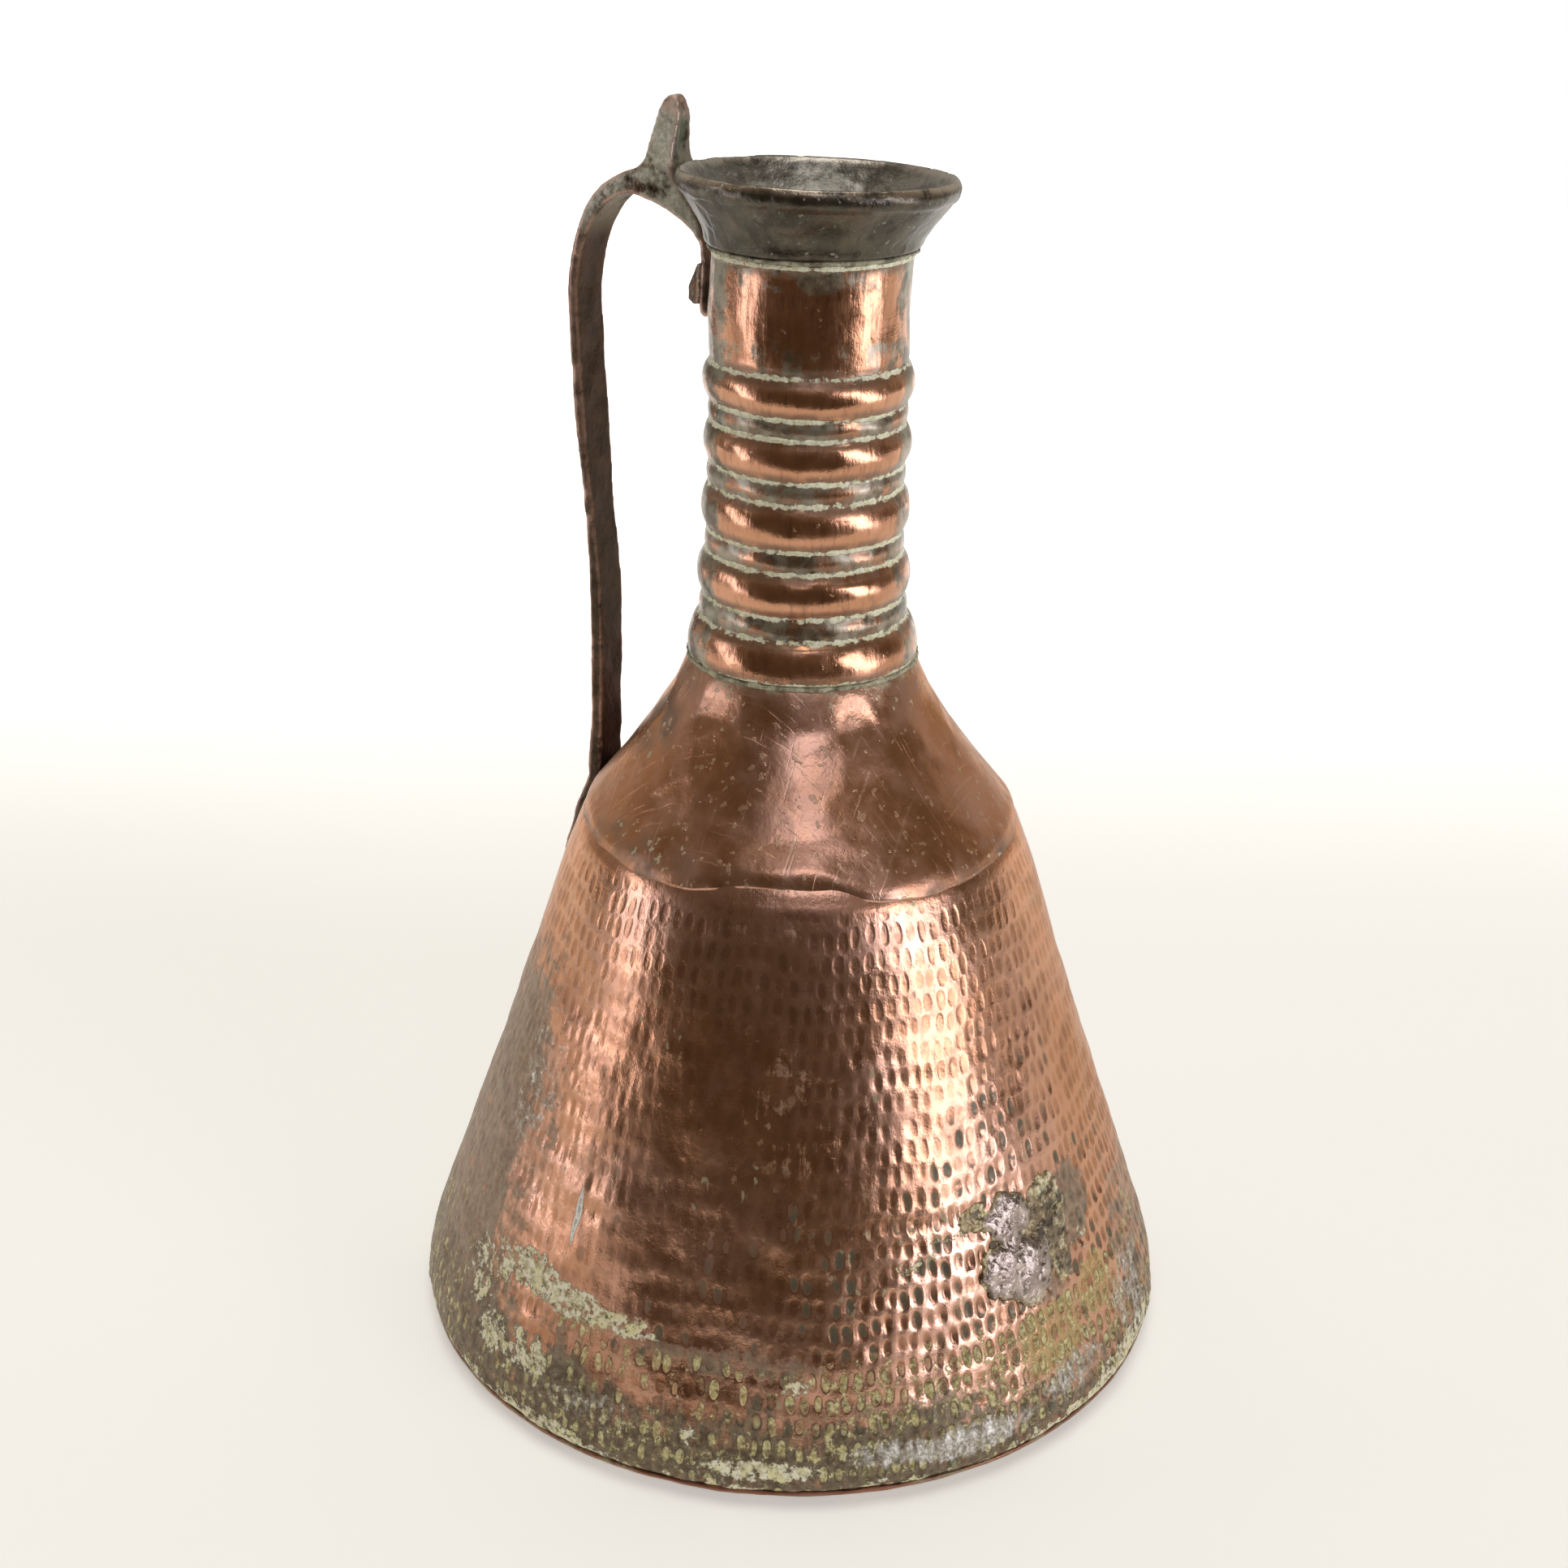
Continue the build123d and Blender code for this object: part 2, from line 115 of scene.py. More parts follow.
# ------------------------------------------------- hand-made irregularities
SWAY_Z = [0, 150, 205, 264, 300, 340, 368, 385, 407, 430]
SWAY_X = [-1.3, -1.2, -1.3, -1.8, -2.0, -1.6, -1.5, -2.0, -0.9, -0.3]    # along the view's right
RIGHT = np.array([math.cos(math.radians(25)), math.sin(math.radians(25))])
BACK = np.array([-math.sin(math.radians(25)), math.cos(math.radians(25))])


def sway(z):
    return np.interp(z, SWAY_Z, SWAY_X)


def broad_dents(phi, z, r):
    """Slow unevenness of the raised sheet, mm along the outward normal."""
    a = np.radians(phi)
    p = np.stack([np.cos(a) * r, np.sin(a) * r, z], 1)
    d = 0.9 * fbm(p / 70.0, 2, 11) + 0.85 * fbm(p / 25.0, 2, 23)
    return d


def place(pts):
    """Axis sway of the finished jug, applied to ideal coordinates in mm."""
    out = pts.copy()
    s = sway(pts[:, 2])
    out[:, 0] += s * RIGHT[0]
    out[:, 1] += s * RIGHT[1]
    return out


def tilt_mouth(pts, amount):
    """Leans points about the neck's top, amount 0..1 for each point."""
    tx, ty = -0.0239, -0.0236
    a = pts[:, 0] * RIGHT[0] + pts[:, 1] * RIGHT[1]
    b = pts[:, 0] * BACK[0] + pts[:, 1] * BACK[1]
    h = pts[:, 2] - 409.0
    out = pts.copy()
    out[:, 2] += amount * (tx * a + ty * b)
    da, db = -amount * tx * h, -amount * ty * h
    out[:, 0] += da * RIGHT[0] + db * BACK[0]
    out[:, 1] += da * RIGHT[1] + db * BACK[1]
    return out


# -------------------------------------------------------------------- meshes
def resample(poly, step):
    """Points along a polyline at about the given spacing, ends kept."""
    poly = np.array(poly, float)
    seg = np.hypot(*np.diff(poly, axis=0).T)
    s = np.concatenate([[0], np.cumsum(seg)])
    n = max(2, int(round(s[-1] / step)) + 1)
    t = np.linspace(0, s[-1], n)
    return np.stack([np.interp(t, s, poly[:, 0]), np.interp(t, s, poly[:, 1])], 1)


def soften(line, passes=3):
    """Rounds the corners of a resampled profile."""
    out = line.copy()
    for _ in range(passes):
        out[1:-1] = 0.25 * out[:-2] + 0.5 * out[1:-1] + 0.25 * out[2:]
    return out


def offset_line(line, d):
    """Profile moved by d towards its left side (the inside, going up)."""
    t = np.gradient(line, axis=0)
    t /= np.maximum(np.hypot(t[:, 0], t[:, 1]), 1e-9)[:, None]
    n = np.stack([t[:, 1], -t[:, 0]], 1)
    return line - d * n


def arc3(a, m, b, n):
    """n points on the circle through a, m and b."""
    (ax, ay), (bx, by), (cx, cy) = a, m, b
    d = 2 * (ax * (by - cy) + bx * (cy - ay) + cx * (ay - by))
    ux = ((ax * ax + ay * ay) * (by - cy) + (bx * bx + by * by) * (cy - ay) + (cx * cx + cy * cy) * (ay - by)) / d
    uy = ((ax * ax + ay * ay) * (cx - bx) + (bx * bx + by * by) * (ax - cx) + (cx * cx + cy * cy) * (bx - ax)) / d
    t0, tm, t1 = (math.atan2(y - uy, x - ux) for x, y in (a, m, b))
    while tm < t0 - math.pi: tm += TAU
    while tm > t0 + math.pi: tm -= TAU
    while t1 < tm - math.pi: t1 += TAU
    while t1 > tm + math.pi: t1 -= TAU
    r = math.hypot(ax - ux, ay - uy)
    t = np.linspace(t0, t1, n)
    return np.stack([ux + r * np.cos(t), uy + r * np.sin(t)], 1)


def columns(n, dense_share=0.62):
    """Azimuths from +X, closer together on the side usually seen."""
    n_front = int(n * dense_share)
    n_back = n - n_front
    front = np.linspace(-100, 100, n_front, endpoint=False)
    back = np.linspace(100, 260, n_back, endpoint=False)
    return np.radians(np.concatenate([front, back])) + FRONT


def ring_grid(profile, az):
    """Ideal coordinates of a closed profile swept round Z: arrays (rows*cols)."""
    rows, cols = len(profile), len(az)
    r = np.repeat(profile[:, 0], cols)
    z = np.repeat(profile[:, 1], cols)
    a = np.tile(az, rows)
    return r, z, a


def grid_faces(rows, cols, close_rows=True):
    i = np.arange(rows if close_rows else rows - 1)
    j = np.arange(cols)
    I, J = np.meshgrid(i, j, indexing="ij")
    I2, J2 = (I + 1) % rows, (J + 1) % cols
    return np.stack([I * cols + J, I * cols + J2, I2 * cols + J2, I2 * cols + J], -1).reshape(-1, 4)


def make_mesh(name, pts_mm, faces, attrs=None, shade=True):
    me = bpy.data.meshes.new(name)
    n, m = len(pts_mm), len(faces)
    k = faces.shape[1]
    me.vertices.add(n)
    me.vertices.foreach_set("co", (pts_mm * MM).astype(np.float32).ravel())
    me.loops.add(m * k)
    me.loops.foreach_set("vertex_index", faces.astype(np.int32).ravel())
    me.polygons.add(m)
    me.polygons.foreach_set("loop_start", np.arange(0, m * k, k, dtype=np.int32))
    me.polygons.foreach_set("loop_total", np.full(m, k, dtype=np.int32))
    me.polygons.foreach_set("use_smooth", np.ones(m, dtype=bool) if shade else np.zeros(m, dtype=bool))
    me.update(calc_edges=True)
    me.validate()
    for key, val in (attrs or {}).items():
        at = me.attributes.new(key, "FLOAT", "POINT")
        at.data.foreach_set("value", np.clip(val, 0, 1).astype(np.float32))
    ob = bpy.data.objects.new(name, me)
    bpy.context.collection.objects.link(ob)
    return ob


def outward(ob):
    """Turns the faces so that their normals point out of a closed mesh."""
    me = ob.data
    n = len(me.vertices)
    co = np.empty(n * 3, np.float32); me.vertices.foreach_get("co", co); co = co.reshape(-1, 3)
    me.calc_loop_triangles()
    tri = np.empty(len(me.loop_triangles) * 3, np.int32); me.loop_triangles.foreach_get("vertices", tri)
    a, b, c = (co[tri.reshape(-1, 3)[:, i]].astype(float) for i in range(3))
    if np.einsum("ij,ij->i", a, np.cross(b, c)).sum() < 0:
        me.flip_normals()
    return ob


def profile_normals(profile):
    """Outward normals (to the right of the travel direction) of a closed profile."""
    d = np.roll(profile, -1, 0) - np.roll(profile, 1, 0)
    d /= np.maximum(np.hypot(d[:, 0], d[:, 1]), 1e-9)[:, None]
    return np.stack([d[:, 1], -d[:, 0]], 1)


def revolve(name, profile, az, radial=None, along=None, tilt=None, attrs=None, slide=None):
    """Closed ring piece. radial(r, z, a, nr, nz) gives mm along the normal."""
    r, z, a = ring_grid(profile, az)
    nn = profile_normals(profile)
    nr, nz = np.repeat(nn[:, 0], len(az)), np.repeat(nn[:, 1], len(az))
    d = radial(r, z, a, nr, nz) if radial is not None else 0.0
    if np.isscalar(d):
        d = np.full_like(r, d)
    zz = z + (along(r, z, a) if along is not None else 0.0)
    rr, zz = r + nr * d, zz + nz * d
    if slide is not None:
        dr, dz = slide(r, z, a)
        rr, zz = rr + dr, zz + dz
    pts = np.stack([rr * np.cos(a), rr * np.sin(a), zz], 1)
    if tilt is not None:
        pts = tilt_mouth(pts, tilt(z))
    pts = place(pts)
    got = attrs(r, z, a) if attrs is not None else None
    ob = make_mesh(name, pts, grid_faces(len(profile), len(az)), got)
    return outward(ob)


# --------------------------------------------------------------- shader kit
class Graph:
    def __init__(self, name):
        self.mat = bpy.data.materials.new(name)
        self.mat.use_nodes = True
        self.t = self.mat.node_tree
        self.t.nodes.clear()
        self.out = self.t.nodes.new("ShaderNodeOutputMaterial")
        self.bsdf = self.t.nodes.new("ShaderNodeBsdfPrincipled")
        self.t.links.new(self.bsdf.outputs[0], self.out.inputs[0])
        self.tc = self.t.nodes.new("ShaderNodeTexCoord")
        self.obj = self.tc.outputs["Object"]

    def put(self, sock, val):
        if isinstance(val, bpy.types.NodeSocket):
            self.t.links.new(val, sock)
        elif isinstance(val, (tuple, list)) and len(val) == 3 and len(sock.default_value) == 4:
            sock.default_value = (*val, 1.0)
        else:
            sock.default_value = val

    def math(self, op, a, b=0.0, c=None, clamp=False):
        n = self.t.nodes.new("ShaderNodeMath"); n.operation = op; n.use_clamp = clamp
        self.put(n.inputs[0], a); self.put(n.inputs[1], b)
        if c is not None: self.put(n.inputs[2], c)
        return n.outputs[0]

    def add(self, a, b): return self.math("ADD", a, b)
    def sub(self, a, b): return self.math("SUBTRACT", a, b)
    def mul(self, a, b): return self.math("MULTIPLY", a, b)
    def mx(self, a, b): return self.math("MAXIMUM", a, b)

    def step(self, x, lo, hi, a=0.0, b=1.0):
        n = self.t.nodes.new("ShaderNodeMapRange"); n.interpolation_type = "SMOOTHSTEP"; n.clamp = True
        self.put(n.inputs["Value"], x)
        n.inputs["From Min"].default_value, n.inputs["From Max"].default_value = lo, hi
        n.inputs["To Min"].default_value, n.inputs["To Max"].default_value = a, b
        return n.outputs[0]

    def lin(self, x, lo, hi, a, b):
        n = self.t.nodes.new("ShaderNodeMapRange"); n.clamp = True
        self.put(n.inputs["Value"], x)
        n.inputs["From Min"].default_value, n.inputs["From Max"].default_value = lo, hi
        n.inputs["To Min"].default_value, n.inputs["To Max"].default_value = a, b
        return n.outputs[0]

    def mapping(self, scale=(1, 1, 1), rot=(0, 0, 0), loc=(0, 0, 0), vec=None):
        n = self.t.nodes.new("ShaderNodeMapping")
        self.put(n.inputs["Vector"], vec or self.obj)
        n.inputs["Scale"].default_value = scale
        n.inputs["Rotation"].default_value = rot
        n.inputs["Location"].default_value = loc
        return n.outputs[0]

    def noise(self, scale, detail=3.0, rough=0.55, vec=None, distort=0.0, lac=2.0):
        n = self.t.nodes.new("ShaderNodeTexNoise")
        self.put(n.inputs["Vector"], vec or self.obj)
        n.inputs["Scale"].default_value = scale
        n.inputs["Detail"].default_value = detail
        n.inputs["Roughness"].default_value = rough
        n.inputs["Distortion"].default_value = distort
        n.inputs["Lacunarity"].default_value = lac
        return n.outputs["Fac"] if "Fac" in n.outputs else n.outputs[0]

    def voronoi(self, scale, vec=None, feature="F1", rand=1.0):
        n = self.t.nodes.new("ShaderNodeTexVoronoi"); n.feature = feature
        self.put(n.inputs["Vector"], vec or self.obj)
        n.inputs["Scale"].default_value = scale
        n.inputs["Randomness"].default_value = rand
        return n

    def attr(self, name):
        n = self.t.nodes.new("ShaderNodeAttribute"); n.attribute_name = name
        return n.outputs["Fac"]

    def xyz(self, vec=None):
        n = self.t.nodes.new("ShaderNodeSeparateXYZ"); self.put(n.inputs[0], vec or self.obj)
        return n.outputs

    def combine(self, x, y, z):
        n = self.t.nodes.new("ShaderNodeCombineXYZ")
        self.put(n.inputs[0], x); self.put(n.inputs[1], y); self.put(n.inputs[2], z)
        return n.outputs[0]

    def mix(self, fac, a, b, blend="MIX"):
        n = self.t.nodes.new("ShaderNodeMix"); n.data_type = "RGBA"; n.blend_type = blend
        n.clamp_factor = True
        self.put(n.inputs[0], fac); self.put(n.inputs[6], a); self.put(n.inputs[7], b)
        return n.outputs[2]

    def mixf(self, fac, a, b):
        n = self.t.nodes.new("ShaderNodeMix"); n.data_type = "FLOAT"; n.clamp_factor = True
        self.put(n.inputs[0], fac); self.put(n.inputs[2], a); self.put(n.inputs[3], b)
        return n.outputs[0]

    def ramp(self, fac, stops):
        n = self.t.nodes.new("ShaderNodeValToRGB"); self.put(n.inputs[0], fac)
        e = n.color_ramp.elements
        while len(e) > 1: e.remove(e[-1])
        e[0].position, e[0].color = stops[0][0], (*stops[0][1], 1)
        for pos, col in stops[1:]:
            x = e.new(pos); x.color = (*col, 1)
        return n.outputs[0]

    def bump(self, height, strength, dist, normal=None):
        n = self.t.nodes.new("ShaderNodeBump")
        self.put(n.inputs["Height"], height)
        n.inputs["Strength"].default_value = strength
        n.inputs["Distance"].default_value = dist
        if normal is not None: self.put(n.inputs["Normal"], normal)
        return n.outputs[0]

    def finish(self, color, metallic, rough, normal=None, coat=0.0, coat_rough=0.2, spec=0.5, tint=(1.0, 1.0, 1.0)):
        b = self.bsdf.inputs
        self.put(b["Base Color"], color); self.put(b["Metallic"], metallic); self.put(b["Roughness"], rough)
        if normal is not None: self.put(b["Normal"], normal)
        b["Coat Weight"].default_value = coat
        b["Coat Roughness"].default_value = coat_rough
        b["Specular IOR Level"].default_value = spec
        b["Specular Tint"].default_value = (*tint, 1.0)
        return self.mat


def phi_of(g):
    """Node giving degrees round the jug from its front, and height in mm."""
    x, y, z = g.xyz()
    ang = g.math("ARCTAN2", y, x)
    deg = g.mul(ang, 180 / math.pi)
    deg = g.sub(deg, math.degrees(FRONT))
    # to -180..180
    n = g.math("WRAP", deg, 180.0, -180.0)
    return n, g.mul(z, 1000.0)


# ----------------------------------------------------- planishing mark layout
# The same formula places the marks in the mesh (numpy) and in the shader.
ROW_H, ROW_Z0 = 8.0, 11.0
MARK_A, MARK_B = 178.0, 3.15          # marks in a row = MARK_A - MARK_B * row


def _frac(x):
    return x - np.floor(x)


def _h(a, b, k):
    return _frac(np.sin(a * 12.99 + b * 78.23 + k) * 43.75)


def mark_field(phi, z):
    v = (z - ROW_Z0 + 1.3 * np.sin(np.radians(phi * 5.0)) + 0.9 * np.sin(np.radians(phi * 13.0 + 40))) / ROW_H
    row = np.floor(v)
    n = np.maximum(np.round(MARK_A - MARK_B * row), 20)
    u = (phi + 180.0) / 360.0 * n + row * 0.37
    col = np.floor(u)
    h1, h2, h3, h4 = (_h(col, row, k) for k in (0.3, 1.7, 3.1, 4.9))
    fx = _frac(u) - 0.5 + 0.26 * (h1 - 0.5) + 0.10 * (_frac(v) - 0.5) * (h2 - 0.5)
    fy = _frac(v) - 0.5 + 0.22 * (h2 - 0.5)
    d = (np.abs(fx) / (0.40 + 0.12 * (h3 - 0.5))) ** 2 + (np.abs(fy) / (0.47 + 0.1 * (h4 - 0.5))) ** 2.5
    t = np.clip(1 - d, 0, 1)
    return t * t * (3 - 2 * t) * (0.30 + 0.70 * h4)


def mark_nodes(g, phi, z):
    s1 = g.math("SINE", g.mul(g.mul(phi, 5.0), math.pi / 180))
    s2 = g.math("SINE", g.mul(g.add(g.mul(phi, 13.0), 40.0), math.pi / 180))
    v = g.math("DIVIDE", g.add(g.add(g.sub(z, ROW_Z0), g.mul(s1, 1.3)), g.mul(s2, 0.9)), ROW_H)
    row = g.math("FLOOR", v)
    n = g.mx(g.math("ROUND", g.sub(MARK_A, g.mul(row, MARK_B))), 20.0)
    u = g.add(g.mul(g.math("DIVIDE", g.add(phi, 180.0), 360.0), n), g.mul(row, 0.37))
    col = g.math("FLOOR", u)

    def h(k):
        a = g.add(g.add(g.mul(col, 12.99), g.mul(row, 78.23)), k)
        return g.math("FRACT", g.mul(g.math("SINE", a), 43.75))
    h1, h2, h3, h4 = (h(k) for k in (0.3, 1.7, 3.1, 4.9))
    fy0 = g.sub(g.math("FRACT", v), 0.5)
    fx = g.add(g.sub(g.math("FRACT", u), 0.5), g.mul(g.sub(h1, 0.5), 0.26))
    fx = g.add(fx, g.mul(g.mul(fy0, g.sub(h2, 0.5)), 0.10))
    fy = g.add(fy0, g.mul(g.sub(h2, 0.5), 0.22))
    ax = g.add(g.mul(g.sub(h3, 0.5), 0.12), 0.40)
    ay = g.add(g.mul(g.sub(h4, 0.5), 0.10), 0.47)
    d = g.add(g.math("POWER", g.math("DIVIDE", g.math("ABSOLUTE", fx), ax), 2.0),
              g.math("POWER", g.math("DIVIDE", g.math("ABSOLUTE", fy), ay), 2.5))
    core = g.step(g.sub(1.0, d), 0.0, 1.0)
    return g.mul(core, g.add(g.mul(h4, 0.70), 0.30)), h3


# ------------------------------------------------------------------ the wall
wall_outer = np.concatenate([
    resample([(130.0, 4.17), (138.5, 5.0)], 2.4)[:-1],
    arc3((138.5, 5.0), (142.6, 6.4), (144.2, 9.6), 7)[:-1],
    soften(resample(WALL, 1.62), 2)[:-1],
    resample([(80.95, 199.0), (80.3, 200.0), (77.6, 204.6), (69.4, 214.6)], 1.8),
])
wall_in = offset_line(wall_outer, T)
keep = np.unique(np.concatenate([np.arange(0, len(wall_in), 9), [len(wall_in) - 1]]))
wall_profile = np.concatenate([wall_outer, wall_in[keep][::-1]])
n_out = len(wall_outer)


def front_columns(n_front, n_back, half=97.0):
    front = np.linspace(-half, half, n_front, endpoint=False)
    back = np.linspace(half, 360.0 - half, n_back, endpoint=False)
    return np.radians(np.concatenate([front, back])) + FRONT


def phi_np(a):
    return wrap(np.degrees(a - FRONT))


def mark_strength(phi, z):
    """How deep the marks are, by place."""
    base = 0.42 + 0.25 * fbm(np.stack([phi / 25.0, z / 30.0, np.full_like(z, 1.5)], 1), 2, 91)
    s = base + 0.75 * bump(phi, 22, 75, 14) * (1 - smooth(z, 60, 120)) + 0.25 * bump(phi, -20, 22, 10) * (1 - smooth(z, 40, 90))
    s += 0.30 * smooth(z, 150, 178) * (1 - smooth(z, 194, 199))
    s -= 0.22 * bump(phi, -38, -8, 12)
    fade = smooth(z, 9.5, 15) * (1 - smooth(z, 196, 199.0))
    return np.clip(s, 0.12, 1.15) * fade


wall_az = front_columns(400, 176)


def wall_dents(phi, z, r, p):
    edge = smooth(z, 9, 26) * (1 - smooth(z, 180, 199))
    d = broad_dents(phi, z, r) * (0.25 + 0.75 * edge) * 0.85
    d = d + edge * 0.55 * bump(phi, -66, -22, 10) * fbm(np.stack([phi / 17.0, z / 12.5, z * 0 + 6], 1), 2, 63)
    return d + edge * (0.36 * fbm(p / np.array([11.0, 11.0, 13.0]), 2, 61) + 0.10 * smooth(np.abs(phi), 40, 70) * fbm(p / 6.0, 1, 62))


def wall_radial(r, z, a, nr, nz):
    phi = phi_np(a)
    is_out = np.zeros_like(r, bool)
    is_out[: n_out * len(wall_az)] = True
    p = np.stack([np.cos(a) * r, np.sin(a) * r, z], 1)
    d = wall_dents(phi, z, r, p)
    rough = 0.05 * fbm(p / 3.2, 2, 77)
    foot = bump(z, 5.5, 10, 5) * (0.75 * fbm(p / 9.0, 2, 78) + 0.45 * fbm(p / 3.2, 2, 79))
    marks = 0.62 * mark_field(phi, z) * mark_strength(phi, z)
    side = np.where(is_out, 1.0, -1.0)
    out = side * d + np.where(is_out, rough + foot * 0.8 - marks, 0.0)
    # the very foot rests on the pan: keep it there
    return out * smooth(r + (z > 6) * 40, 131, 140)


def wall_attrs(r, z, a):
    phi = phi_np(a)
    p = np.stack([np.cos(a) * r, np.sin(a) * r, z], 1)
    fb = fbm(p / 16.0, 3, 131)
    fill = np.clip(0.85 * bump(phi, 8, 66, 12) * (1 - smooth(z, 62, 128)) * (0.75 + 0.7 * fb) + 0.35 * bump(phi, -30, 12, 14) * (1 - smooth(z, 70, 150)) * (0.6 + fb)
                   + 0.45 * bump(phi, 28, 66, 8) * bump(z, 100, 150, 20) * (0.5 + fb), 0, 1)
    film = np.clip(1.0 * (1 - smooth(z, 17, 42 + 12 * fb)) * bump(phi, -34, 24, 12) + 0.74 * (1 - smooth(z, 14, 40 + 8 * fb)) * bump(phi, 20, 66, 10)
                   + 0.86 * bump(phi, -128, -64, 9) * (1 - smooth(z, 120, 175)) + 0.78 * bump(phi, -70, -34, 9) * (1 - smooth(z, 24, 58)) + 0.45 * bump(phi, -72, -52, 7) * (1 - smooth(z, 90, 185))
                   + 0.62 * bump(phi, 70, 132, 8) * (1 - smooth(z, 40, 105)) + 0.45 * bump(phi, 132, 232, 20) * (1 - smooth(z, 50, 150))
                   + 0.55 * blob(phi, z, -12, 50, 17, 5.5, 21) + 0.28 * blob(phi, z, -1.6, 144, 6, 11, 22) + 0.25 * blob(phi, z, 2, 118, 8, 9, 23)
                   + 0.85 * blob(phi, z, 55, 78, 8, 17, 24) + 0.5 * blob(phi, z, 47, 56, 6, 6, 25) + 0.08 + 0.12 * fb, 0, 1)
    yellow = np.clip(0.95 * bump(phi, 10, 60, 7) * bump(z, 27, 46, 9) + 0.58 * bump(phi, -34, 12, 8) * bump(z, 17, 46, 8)
                     + 0.6 * (1 - smooth(z, 18, 30)) + 0.06 * bump(phi, -30, 60, 10) * bump(z, 50, 140, 20) + 0.30 * (np.abs(phi) > 62) * (1 - smooth(z, 40, 80)), 0, 1)
    olive = np.clip(0.95 * blob(phi, z, 45, 41, 9, 16, 31) + 0.85 * blob(phi, z, 57, 47, 6, 14, 32) + 0.40 * bump(phi, 14, 62, 8) * bump(z, 20, 46, 8)
                    + 0.45 * bump(phi, -90, -60, 8) * (1 - smooth(z, 30, 70)) + 0.3 * bump(phi, 66, 140, 12) * (1 - smooth(z, 50, 110)), 0, 1)
    crust = np.clip(blob(phi, z, -45, 58.5, 8.5, 8.0, 1) + 0.95 * blob(phi, z, -36.5, 55.0, 8.0, 7.0, 3) + 0.62 * blob(phi, z, -26, 55, 8, 5.0, 4) + 0.55 * blob(phi, z, -56, 45, 7, 16, 18) + 0.5 * blob(phi, z, -46, 30, 9, 12, 19)
                    + 0.52 * blob(phi, z, 28.5, 87, 6.0, 2.4, 6) + 0.45 * blob(phi, z, 20.5, 80.5, 3.2, 3.4, 10) + 0.40 * blob(phi, z, 52.5, 86, 5.0, 7, 2) + 0.5 * blob(phi, z, 39, 74.5, 6, 2.4, 20) + 0.5 * blob(phi, z, 56, 64, 4.5, 9, 12)
                    + 0.9 * blob(phi, z, 62, 13, 14, 7, 8) + 0.9 * blob(phi, z, 50, 9.5, 9, 3.2, 9) + 0.95 * blob(phi, z, -4, 15, 10, 5, 13) + 0.8 * blob(phi, z, -38, 9.5, 12, 4.2, 5)
                    + 0.6 * blob(phi, z, -41.5, 30, 4.5, 5.5, 14) + 0.6 * blob(phi, z, -51, 27, 5, 5, 15) + 0.75 * blob(phi, z, 1.8, 43, 3.2, 3.2, 16) + 0.7 * blob(phi, z, -14, 25, 2.0, 6, 17)
                    + 0.80 * (1 - smooth(z, 7.0, 13.5 + 5 * fb)) * smooth(fb, -0.45, 0.15) + 0.22 * bump(phi, -128, -62, 8) * (1 - smooth(z, 50, 90)), 0, 1)
    sheen = np.clip(1.1 * blob(phi, z, 28, 17.5, 11, 6.5, 41) + 0.7 * blob(phi, z, 15, 20, 8, 6, 42) + 0.55 * blob(phi, z, 48, 22, 12, 8, 43) + 0.35 * blob(phi, z, -30, 24, 12, 8, 44) + 0.55 * blob(phi, z, 68, 30, 8, 20, 45) + 0.30 * blob(phi, z, -58, 120, 8, 45, 46), 0, 1)
    strength = np.clip(mark_strength(phi, z), 0, 1)
    inside = np.ones_like(r)
    inside[: n_out * len(wall_az)] = 0.0
    stripes = np.clip(0.25 + 0.9 * smooth(np.abs(phi), 48, 92), 0, 1)
    rub = np.clip(0.45 + 0.7 * fbm(p / 24.0, 2, 171) + 0.3 * bump(phi, 8, 45, 10) * bump(z, 60, 150, 20), 0, 1)
    return dict(fill=fill, film=film, yellow=yellow, olive=olive, crust=crust, sheen=sheen, strength=strength, inside=inside, stripes=stripes, rub=rub)


body_wall = revolve("body_wall_sheet", wall_profile, wall_az, radial=wall_radial, attrs=wall_attrs)

# -------------------------------------------------------------- the base pan
pan_out = np.concatenate([
    resample([(0.02, 0.0), (60.0, 0.0), (112.0, 0.0)], 5.0)[:-1],
    resample([(112.0, 0.0), (141.8, 4.35)], 2.0)[:-1],
    arc3((141.8, 4.35), (143.4, 5.3), (142.98, 6.08), 6),
])
pan_out[:, 1] = np.maximum(pan_out[:, 1], 0.0)
pan_in = resample([(141.0, 5.72), (112.0, 1.5), (0.02, 1.5)], 4.0)
pan_profile = np.concatenate([pan_out, pan_in])


def pan_radial(r, z, a, nr, nz):
    p = np.stack([np.cos(a) * r, np.sin(a) * r, z], 1)
    d = 0.35 * fbm(p / 10.0, 3, 201) * smooth(r, 118, 140) + 0.30 * fbm(p / 26.0, 2, 202) * smooth(z, 0.5, 1.4) * (r < 139)
    d = np.where((z < 0.3), -np.abs(0.35 * fbm(p / 22.0, 3, 203)) * smooth(r, 3, 20), d)
    return np.where(nz < -0.5, np.minimum(d, 0.25) if False else d, d)


def pan_attrs(r, z, a):
    p = np.stack([np.cos(a) * r, np.sin(a) * r, z], 1)
    f = fbm(p / 14.0, 3, 211)
    return dict(crust=np.clip(0.35 + 0.8 * f + 0.2 * (z < 0.8), 0, 1) * (1 - 0.45 * smooth(r, 139, 142) * bump(phi_np(a), -16, 14, 8)) + 0.45 * smooth(r, 136, 140) * (1 - bump(phi_np(a), -16, 14, 8)),
                rim=smooth(r, 138.5, 141.5), rub=np.clip(0.5 + f, 0, 1))


base_pan = revolve("base_pan_sheet", pan_profile, front_columns(300, 150), radial=pan_radial, attrs=pan_attrs)

